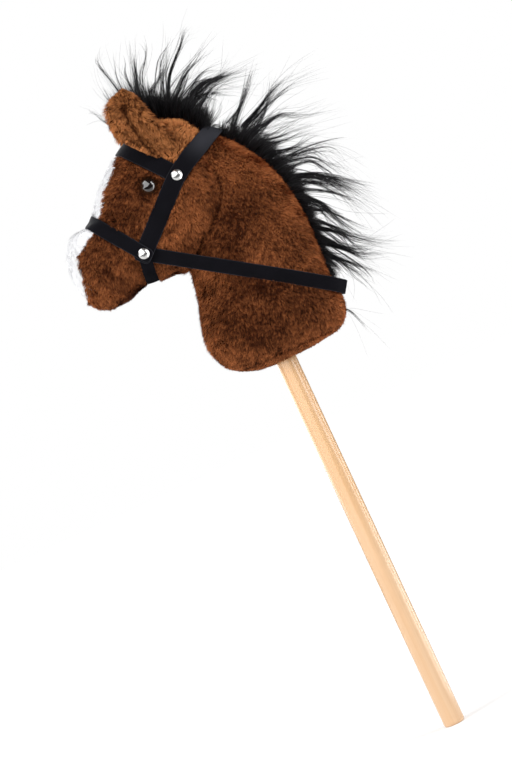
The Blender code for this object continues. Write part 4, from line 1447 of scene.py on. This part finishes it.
FORELOCK_LOCKS = locks(
    (46, 30, 0, 100, -246, 8000, -204, 8203, -146, 8438, -67, 8645),
    (24, 40, 20, 100, -220, 8000, -191, 8203, -153, 8384, -117, 8600),
    (12, 30, -20, 100, -306, 8050, -312, 8301, -269, 8489),
    (12, 40, 15, 100, -379, 8000, -394, 8309, -309, 8604),
    (16, 30, -10, 100, -477, 7950, -530, 8352, -532, 8551, -429, 8650),
    (10, 30, 10, 100, -500, 7900, -610, 8254, -575, 8496),
    (14, 30, 10, 100, -500, 7700, -722, 7910, -805, 8047, -925, 8149),
    (12, 30, 25, 100, -168, 8000, -121, 8168, -31, 8315, 37, 8493, 26, 8640),
    (22, 40, -20, 100, -125, 7960, 31, 8067, 151, 8168, 292, 8312),
    (16, 50, 10, 100, -30, 7900, 133, 8218, 265, 8366, 367, 8497),
    (44, 30, 5, 100, 14, 7860, 162, 8100, 385, 8310, 509, 8441, 621, 8493),
    (30, 50, -15, 100, 23, 7850, 103, 8064, 226, 8238, 340, 8415),
    (40, 30, 10, 100, 75, 7820, 309, 8011, 569, 8120, 783, 8198),
    (30, 50, -10, 100, 93, 7780, 311, 7926, 509, 8127),
    (44, 40, 20, 100, 120, 7750, 329, 7875, 531, 7949, 753, 7930),
    (110, 40, 0, 100, 188, 7700, 424, 7832, 658, 7817, 799, 7804, 944, 7824),
    (90, 50, -15, 100, 232, 7650, 459, 7774, 681, 7775, 975, 7732),
    (50, 60, 20, 100, 263, 7600, 478, 7724, 690, 7750, 890, 7730),
    (40, 70, -25, 100, 297, 7550, 513, 7685, 692, 7665, 838, 7618),
    (18, 100, 10, 100, 250, 7360, 360, 7520, 470, 7660, 610, 7740),
    (14, 100, -20, 100, 260, 7330, 400, 7450, 510, 7620, 560, 7820),
    (14, 100, 20, 100, 270, 7310, 420, 7390, 540, 7500, 620, 7660),
)


def side_view_points(line: Array) -> Array:
    """Points of the side view in the middle plane."""
    return np.array([(x, 0.0, z) for x, z in line])


def along_route(route: Array, share: Array) -> Array:
    """Points of a smooth curve through a route's points.

    Args:
        route: The points, of shape (count, 3).
        share: Places from 0 to 1.

    Returns:
        The curve's points, of shape (places, 3).
    """
    padded = np.concatenate((2 * route[:1] - route[1:2], route, 2 * route[-1:] - route[-2:-1]))
    place = share * (len(route) - 1)
    index = np.minimum(place.astype(int), len(route) - 2)
    part = (place - index)[:, None]
    before, start, end, after = (padded[index + step] for step in range(4))
    bend = 2 * before - 5 * start + 4 * end - after
    swing = 3 * (start - end) + after - before
    return start + 0.5 * part * (end - before + part * (bend + part * swing))


def trimmed(hair: Array) -> Array:
    """A hair cut short where it leaves the room that hair may take.

    Args:
        hair: Its points, of shape (count, 3), from root to tip.

    Returns:
        As many points on what is left of it.
    """
    over = np.maximum(hair[:, 0] - HAIR_ENDS_BEHIND, hair[:, 2] - HAIR_ENDS_ABOVE)
    outside = np.flatnonzero(over > 0)
    if not len(outside):
        return hair
    first = outside[0]
    end = first - over[first] / (over[first] - over[first - 1])
    kept, whole = np.linspace(0, end, len(hair)), np.arange(len(hair))
    return np.stack([np.interp(kept, whole, part) for part in hair.T], axis=1)


@dataclass(frozen=True)
class Crest:
    """The seam that hair is sewn to.

    Each row has a place in the side view, the way of the hair there and the hair's height.
    """

    rows: Array

    def at(self, share: Array) -> tuple[Array, Array, Array]:
        """Places, the hair's ways and directions along the crest.

        Args:
            share: Places from 0 to 1.

        Returns:
            Three arrays of shape (places, 3).
        """
        line, ways = side_view_points(self.rows[:, :2]), side_view_points(self.rows[:, 2:4])
        ahead = along_route(line, np.minimum(share + 0.01, 1.0))
        behind = along_route(line, np.maximum(share - 0.01, 0.0))
        return along_route(line, share), unit(along_route(ways, share)), unit(ahead - behind)

    def height(self, share: Array) -> Array:
        """The hair's height at places from 0 to 1."""
        return np.interp(share, np.linspace(0, 1, len(self.rows)), self.rows[:, 4])


CREST = (*PLACE, 100, 100, 1000)
NECK_CREST = Crest(table(
    CREST, (820, 5160, 45, -90, 16), (825, 5400, 60, -80, 18), (850, 5700, 75, -66, 19),
    (855, 6000, 85, -50, 19), (835, 6200, 95, -30, 20), (795, 6400, 100, -10, 23),
    (735, 6600, 100, 5, 26), (640, 6800, 95, 30, 29), (510, 6980, 85, 55, 29),
    (355, 7150, 72, 70, 24),
))
CROWN_CREST = Crest(table(
    CREST, (240, 7270, 62, 78, 26), (150, 7385, 66, 75, 29), (70, 7480, 62, 78, 31),
    (-10, 7545, 50, 86, 32), (-110, 7585, 36, 93, 34), (-210, 7612, 20, 98, 40),
    (-310, 7615, 6, 100, 50), (-410, 7603, -5, 100, 54), (-500, 7579, -20, 98, 38),
))


@dataclass
class Hair:
    """Long hair sewn along a seam: locks over a dense short brush."""

    name: str
    crest: Crest
    locks: tuple[Lock, ...]
    finish: Material
    brush_hairs: int
    band: float
    shortest: float
    seed: int
    half_width: float = 0.00016
    brush_half_width: float = 0.00034
    brush_stations: int = 6
    stations: int = 9
    strands_per_hair: float = 1.9
    hairs_per_tress: int = 9
    new_tress: float = 0.28
    root_size: Triple = (0.0032, 0.0030, 0.0042)

    def build(self) -> None:
        """Makes the brush and the locks."""
        random = np.random.default_rng(self.seed)
        dress(self.make_brush(random), "black_hair", HORSE, self.name)
        dress(self.make_locks(random), "black_hair")

    def make_brush(self, random: Random) -> Piece:
        """The dense hair close to the seam.

        Args:
            random: The random numbers' source.

        Returns:
            The piece.
        """
        count = int(self.brush_hairs * (1.0))
        place = random.random(count)
        roots, out, along = self.crest.at(place)
        side = random.uniform(-1, 1, count)
        roots = roots + side[:, None] * (0.0, self.band, 0.0)
        tuft = np.round(place * 40 + 0.6 * side)
        stir = np.stack([np.sin(tuft * 2.4 + phase) for phase in (0.0, 2.1, 4.4)], axis=1)
        way = unit(
            out + 0.22 * along * stir[:, :1] + 0.22 * stir[:, 1:2] * (0.0, 1.0, 0.0)
            + side[:, None] * (0.0, 0.42, 0.0) + 0.13 * random.normal(size=(count, 3))
        )
        length = self.crest.height(place) * random.uniform(self.shortest, 1.0, count)
        length *= 1 + 0.25 * stir[:, 2] * random.random(count)
        bend = unit(way + 0.45 * random.normal(size=(count, 3)))
        share = np.linspace(0, 1, self.brush_stations)
        steps = share[None, :, None]
        reach = length[:, None, None]
        lines = roots[:, None] + reach * (steps * way[:, None] + 0.25 * steps**2 * bend[:, None])
        across = unit(np.cross(way, random.normal(size=(count, 3))))
        taper = 1 - share[:-1] ** 1.5
        widths = self.brush_half_width * random.uniform(0.6, 1.2, count)[:, None] * taper
        tone = random.random(count)
        return ribbons(self.name + "_brush", lines, across, widths, tone, self.finish)

    def make_locks(self, random: Random) -> Piece:
        """The long locks with their loose single hairs.

        Args:
            random: The random numbers' source.

        Returns:
            The piece.
        """
        share = np.linspace(0, 1, self.stations)
        lines, across, widths, tones = [], [], [], []
        for lock in self.locks:
            route = side_view_points(lock.route)
            size = np.linalg.norm(np.diff(route, axis=0), axis=1).sum()
            route[:, 1] = lock.sideways * size * np.linspace(0, 1, len(route)) ** 1.5
            hairs = int(lock.hairs * self.strands_per_hair)
            tress_start = random.normal(size=3) * self.root_size * lock.root
            tress_end, tress_reach = np.zeros(3), 1.0
            for _ in range(max(2, hairs // self.hairs_per_tress)):
                if random.random() < self.new_tress:
                    tress_start = random.normal(size=3) * self.root_size * lock.root
                    tress_end = random.normal(size=3) * lock.spread * (1.7, 2.0, 1.7)
                    tress_reach = random.uniform(0.5, 1.0) ** 0.5
                start = tress_start + random.normal(size=3) * 0.0015 * lock.root
                end = tress_end + random.normal(size=3) * lock.spread * 0.35
                reach = tress_reach * random.uniform(0.8, 1.0)
                turns, phase = random.uniform(3, 8), random.uniform(0, 6)
                swing = 0.0016 * random.normal(size=3)
                for _ in range(self.hairs_per_tress):
                    cut = share[:, None] * random.choice((0.55, 0.7, 0.85, 1.0))
                    own = along_route(route, cut[:, 0] * reach)
                    own += (1 - cut) ** 1.5 * start + cut**1.6 * end
                    own += cut * np.sin(cut * turns + phase) * swing
                    free_root = random.normal(size=3) * 0.0008
                    loose = random.normal(size=3) * random.choice((0.0002, 0.0002, 0.0005, 0.0018))
                    own += free_root * (1 - 0.75 * cut) + loose * cut**2
                    lines.append(trimmed(own))
                    across.append(np.cross(own[-1] - own[0], random.normal(size=3)))
                    widths.append(
                        self.half_width * random.uniform(0.7, 1.3) * (1 - 0.75 * share[:-1] ** 1.5)
                    )
                    tones.append(random.random())
            for _ in range(4 + hairs // 14):
                start = random.normal(size=3) * 0.004 * lock.root
                end = random.normal(size=3) * lock.spread * 2.8
                own = along_route(route, share)
                ahead = unit(own[-1] - own[-3]) * random.uniform(-0.010, 0.010)
                own += (1 - share)[:, None] ** 1.5 * start + share[:, None] ** 1.6 * (end + ahead)
                lines.append(trimmed(own))
                across.append(np.cross(own[-1] - own[0], random.normal(size=3)))
                widths.append(self.half_width * 0.8 * (1 - 0.6 * share[:-1] ** 2))
                tones.append(random.random())
        return ribbons(
            self.name + "_locks", np.array(lines), unit(np.array(across)), np.array(widths),
            np.array(tones), self.finish,
        )


# Bridle, eyes and stick


@dataclass
class Bridle:
    """The straps with their eased edges, and their rivets."""

    nodes: Nodes
    edge: float = 0.00055
    face: StrapFinish = StrapFinish(
        "black_strap_face", (0.005, 0.005, 0.006), (0.011, 0.010, 0.014), 0.5
    )
    rim: StrapFinish = StrapFinish(
        "black_strap_edge", (0.016, 0.016, 0.020), (0.080, 0.080, 0.092), 0.6
    )
    metal: GrainFinish = GrainFinish(
        "polished_plate", (0.5412, 0.533, 0.5248), (0.66, 0.65, 0.64), 2600.0, roughness=0.30,
        shine=0.5, detail=2.0, relief=(0.08, 0.0001), stretch=(1.0, 1.0, 0.15), metallic=1.0,
    )

    def build(self) -> list[Piece]:
        """Makes the straps and rivets.

        Returns:
            The straps, with the reins last.
        """
        face, rim, metal = self.face.build(), self.rim.build(), self.metal.build()
        straps = []
        for name in ("headpiece_strap", "browband", "noseband", "chin_strap", REINS):
            piece = solid_copy(self.nodes[name], name + "_leather")
            with reshaped(piece.data) as shape:
                rounded(shape, sharp_edges(shape, PANEL_ANGLE), self.edge, 2, 1)
            piece.data.materials.append(face)
            piece.data.materials.append(rim)
            smoothed(piece.data, 0.8)
            straps.append(dress(piece, "bridle_strap", REINS if name == REINS else HORSE, name))
        for place in ("upper", "lower"):
            for side in Side:
                for part in ("rivet_", "rivet_back_"):
                    name = f"{part}{place}_{side.value}"
                    plain_part(self.nodes, name, "_cap", "rivet_metal", metal)
        return straps


@dataclass
class Eye:
    """A domed eye on its shank, with the washer behind the cloth."""

    side: Side
    rings: int = 14
    segments: int = 48
    shank: float = 0.0024
    rim: float = 0.0002
    seam: float = 0.0004

    def build(self, nodes: Nodes, gloss: Material, plastic: Material) -> Piece:
        """Makes the eye and its washer.

        Args:
            nodes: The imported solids.
            gloss: Material of the dome.
            plastic: Material of the washer.

        Returns:
            The eye.
        """
        name = "eye_" + self.side.value
        place, outward, radius, height, depth = self.measure(nodes[name])
        ball = (radius**2 + height**2) / (2 * height)
        profile = [
            (ball * math.sin(a), height - ball + ball * math.cos(a))
            for a in np.linspace(0, math.asin(radius / ball), self.rings)
        ]
        profile += [(radius - self.rim, -self.seam), (self.shank, -self.seam)]
        profile += [(self.shank, -depth), (0.0, -depth)]
        mesh = bpy.data.meshes.new(name)
        with reshaped(mesh) as shape:
            corners = [shape.verts.new((r, 0.0, z)) for r, z in profile]
            edges = [shape.edges.new(pair) for pair in zip(corners, corners[1:])]
            bmesh.ops.spin(
                shape, geom=corners + edges, angle=math.tau, steps=self.segments, axis=(0, 0, 1),
                cent=(0, 0, 0), use_merge=True,
            )
            bmesh.ops.remove_doubles(shape, verts=shape.verts, dist=1e-6)
            bmesh.ops.recalc_face_normals(shape, faces=shape.faces)
            ring = shape.verts.layers.float.new("ring")
            for vertex in shape.verts:
                vertex[ring] = min(1.0, vertex.co.xy.length / radius)
            turn = outward.to_track_quat("Z", "Y").to_matrix().to_4x4()
            bmesh.ops.transform(shape, matrix=Matrix.Translation(place) @ turn, verts=shape.verts)
        smoothed(mesh, 0.9)
        eye = dress(add_piece(name + "_dome", mesh, gloss), "eye_gloss", HORSE, name)
        washer = "eye_washer_" + self.side.value
        plain_part(nodes, washer, "_ring", "washer_plastic", plastic)
        return eye

    def measure(self, node: Piece) -> tuple[Vector, Vector, float, float, float]:
        """Reads the eye's form off its solid.

        Args:
            node: The solid.

        Returns:
            Its place, direction, radius, dome height and shank depth.
        """
        points = np.array([v.co[:] for v in node.data.vertices])
        centre = points.mean(axis=0)
        _, _, ways = np.linalg.svd(points - centre, full_matrices=False)
        found = []
        for way in ways:
            out = Vector(way) * (1 if way[1] * self.side.sign > 0 else -1)
            along = (points - centre) @ np.array(out)
            away = np.linalg.norm(points - centre - along[:, None] * np.array(out), axis=1)
            found.append((away[along > along.max() - 1e-5].max(), out, along, away))
        _, out, along, away = min(found, key=lambda one: one[0])
        widest = away.max()
        seat = along[away > widest - 1e-4].min()
        place = Vector(centre) + out * float(seat)
        return place, out, float(widest), float(along.max() - seat), float(seat - along.min())


@dataclass
class Stick:
    """The round stick and the cloth sleeve inside the neck."""

    nodes: Nodes
    foot_growth: float = 1.8
    foot_height: float = 0.002
    foot_easing: float = 0.0009
    wood: WoodFinish = WoodFinish()
    cloth: GrainFinish = GrainFinish("sleeve_weave", (0.60, 0.56, 0.48), (0.76, 0.72, 0.64), 700.0)

    def build(self) -> None:
        """Makes both pieces."""
        for node, slot, finish in (
            ("stick", "stick_wood", self.wood), ("stick_sleeve", "sleeve_cloth", self.cloth)
        ):
            piece = solid_copy(self.nodes[node], node + "_turned", finish.build())
            self.ease_foot(piece.data)
            smoothed(piece.data, 0.6)
            dress(piece, slot, HORSE, node)

    def ease_foot(self, mesh: Mesh) -> None:
        """Enlarges the rounding at the foot and makes its steps finer.

        Args:
            mesh: Mesh of a turned piece, which is changed.
        """
        with reshaped(mesh) as shape:
            growth, outer = self.foot_growth, max(v.co.xy.length for v in shape.verts)
            for vertex in shape.verts:
                x, y, z = vertex.co
                radius = vertex.co.xy.length
                if z < self.foot_height and radius > 0:
                    eased = (outer - growth * (outer - radius)) / radius
                    vertex.co = (eased * x, eased * y, growth * z)
            highest = 2 * self.foot_height
            foot = [e for e in sharp_edges(shape, 0.3) if max(v.co.z for v in e.verts) < highest]
            rounded(shape, foot, self.foot_easing, 3, -1)


# Studio


@dataclass
class Studio:
    """Floor, lamps, background and camera."""

    aim: Triple = (-0.0404, 0.0, 0.4511)
    distance: float = 3.0
    lean: float = math.radians(24.95)
    span: float = 0.865
    film: float = 36.0
    floor_size: float = 30.0
    ambient: float = 0.64
    dim: float = 0.10
    screen: float = 4.0
    strip: float = 7.0
    lit: Triple = (-0.05, 0.0, 0.60)
    lamps: tuple[tuple[Triple, float, float, float, bool], ...] = (
        ((-2.0, -1.3, 1.3), 1.0, 1.4, 37.0, False),
        ((2.1, -1.2, 1.4), 0.9, 1.7, 29.0, True),
    )

    def build(self) -> None:
        """Makes the studio."""
        self.make_camera()
        self.make_floor()
        self.make_world()
        for number, lamp in enumerate(self.lamps):
            self.make_lamp(f"softbox_{number}", *lamp)
        bpy.context.scene.view_settings.view_transform = "Standard"

    def hold(self, name: str, data: bpy.types.ID, place: Vector, turn: Matrix) -> Piece:
        """Puts a camera or lamp in its place.

        Args:
            name: Its name.
            data: The camera or lamp.
            place: Where it stands.
            turn: How it is turned.

        Returns:
            Its object.
        """
        holder = bpy.data.objects.new(name, data)
        bpy.context.scene.collection.objects.link(holder)
        holder.matrix_world = Matrix.Translation(place) @ turn.to_4x4()
        return holder

    def make_camera(self) -> None:
        """Puts the camera level with the horse, turned about its own axis as in the picture."""
        camera = bpy.data.cameras.new("camera")
        camera.sensor_fit = "VERTICAL"
        camera.sensor_height = self.film
        camera.lens = self.film * self.distance / self.span
        cosine, sine = math.cos(self.lean), math.sin(self.lean)
        right, up, back = Vector((cosine, 0, -sine)), Vector((sine, 0, cosine)), Vector((0, -1, 0))
        turn = Matrix((right, up, back)).transposed()
        place = Vector(self.aim) + self.distance * back
        bpy.context.scene.camera = self.hold("camera", camera, place, turn)

    def make_floor(self) -> None:
        """Lays the floor just under the foot of the stick."""
        mesh = bpy.data.meshes.new("floor")
        with reshaped(mesh) as shape:
            bmesh.ops.create_grid(shape, x_segments=1, y_segments=1, size=self.floor_size / 2)
        add_piece("floor", mesh, FloorFinish().build())

    def make_world(self) -> None:
        """A white background that lights the object more softly than it shows.

        Gloss shows a dim room, the same on both sides of the horse, with a wide pale screen on its
        face side and a low narrow one on its mane side.
        """
        world = bpy.data.worlds.new("studio")
        world.use_nodes = True
        wires = Wiring(world.node_tree)
        background = wires.nodes["Background"]
        background.inputs["Color"].default_value = (*WHITE, 1.0)
        path = wires.node("LightPath").outputs
        x, y, z = wires.place("Generated")
        y = wires.mirrored(y)
        cosine, sine = math.cos(self.lean), math.sin(self.lean)
        left, up = (
            wires.maths("ADD", wires.maths("MULTIPLY", x, a), wires.maths("MULTIPLY", z, b))
            for a, b in ((-cosine, sine), (sine, cosine))
        )
        room = wires.step(y, -0.2, 0.0, self.dim, 0.22)
        right_edge = wires.maths("ADD", left, wires.maths("MULTIPLY", up, 0.7))
        top_edge = wires.maths("SUBTRACT", up, wires.maths("MULTIPLY", left, 0.545))
        screen = wires.window(
            (right_edge, 0.09, 0.14), (top_edge, 0.63, 0.57), (up, -0.60, -0.54), (left, 0.97, 0.90)
        )
        strip = wires.window(
            (y, -0.44, -0.38), (y, -0.14, -0.20), (x, 0.5, 0.7), (z, -0.26, -0.20), (z, 0.16, 0.10)
        )
        screen = wires.maths("MULTIPLY", screen, self.screen)
        gloss = wires.maths("ADD", room, screen, wires.maths("MULTIPLY", strip, self.strip))
        level = wires.between(path["Is Glossy Ray"], self.ambient, gloss)
        shown = wires.maths("MAXIMUM", path["Is Camera Ray"], path["Is Transmission Ray"])
        wires.link(wires.between(shown, level, 1.0), background.inputs["Strength"])
        bpy.context.scene.world = world

    def make_lamp(
        self, name: str, place: Triple, width: float, height: float, power: float, shows: bool
    ) -> None:
        """Adds a rectangular lamp that faces the object.

        Args:
            name: Its name.
            place: Its middle.
            width: Its width.
            height: Its height.
            power: Its power.
            shows: Whether gloss shows it. The screen in the world stands for one that doesn't.
        """
        light = bpy.data.lights.new(name, "AREA")
        light.shape = "RECTANGLE"
        light.size, light.size_y = width, height
        light.energy = power
        towards = (Vector(self.lit) - Vector(place)).normalized()
        turn = towards.to_track_quat("-Z", "Y").to_matrix()
        self.hold(name, light, Vector(place), turn).visible_glossy = shows


def main() -> None:
    """Builds every sub-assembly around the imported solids."""
    logging.basicConfig(level=logging.INFO, format="%(message)s")
    nodes = frame["nodes"]
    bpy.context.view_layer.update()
    Studio().build()
    Stick(nodes).build()
    straps = Bridle(nodes).build()
    weave = GrainFinish("hair_backing_weave", (0.006, 0.006, 0.007), (0.018, 0.017, 0.019))
    backing = weave.build()
    for name in ("mane_backing", "forelock_backing"):
        Cloth(name, "hair_backing", backing, 0.2).build(nodes)
    gloss = EyeFinish().build()
    plastic = GrainFinish(
        "moulded_plastic", (0.68, 0.68, 0.66), (0.76, 0.76, 0.74), 400.0, roughness=0.5, shine=0.5,
        detail=2.0, relief=(0.1, 0.0002),
    ).build()
    eyes = [Eye(side).build(nodes, gloss, plastic) for side in Side]
    harness = Harness.of(straps[:-1] + eyes, straps[-1], frame["joints"][0])
    Plush(nodes, harness).build()
    hair = StrandFinish(
        "black_fibre", (0.004, 0.004, 0.005), (0.0094, 0.00895, 0.0104), (0.016, 0.015, 0.017),
        (0.55, 0.55, 0.58), 0.48, 0.22,
    ).build()
    Hair("mane", NECK_CREST, MANE_LOCKS, hair, 12000, 0.0090, 0.6, 60).build()
    Hair("forelock", CROWN_CREST, FORELOCK_LOCKS, hair, 10000, 0.0110, 0.65, 61).build()


if __name__ == "__main__":
    main()
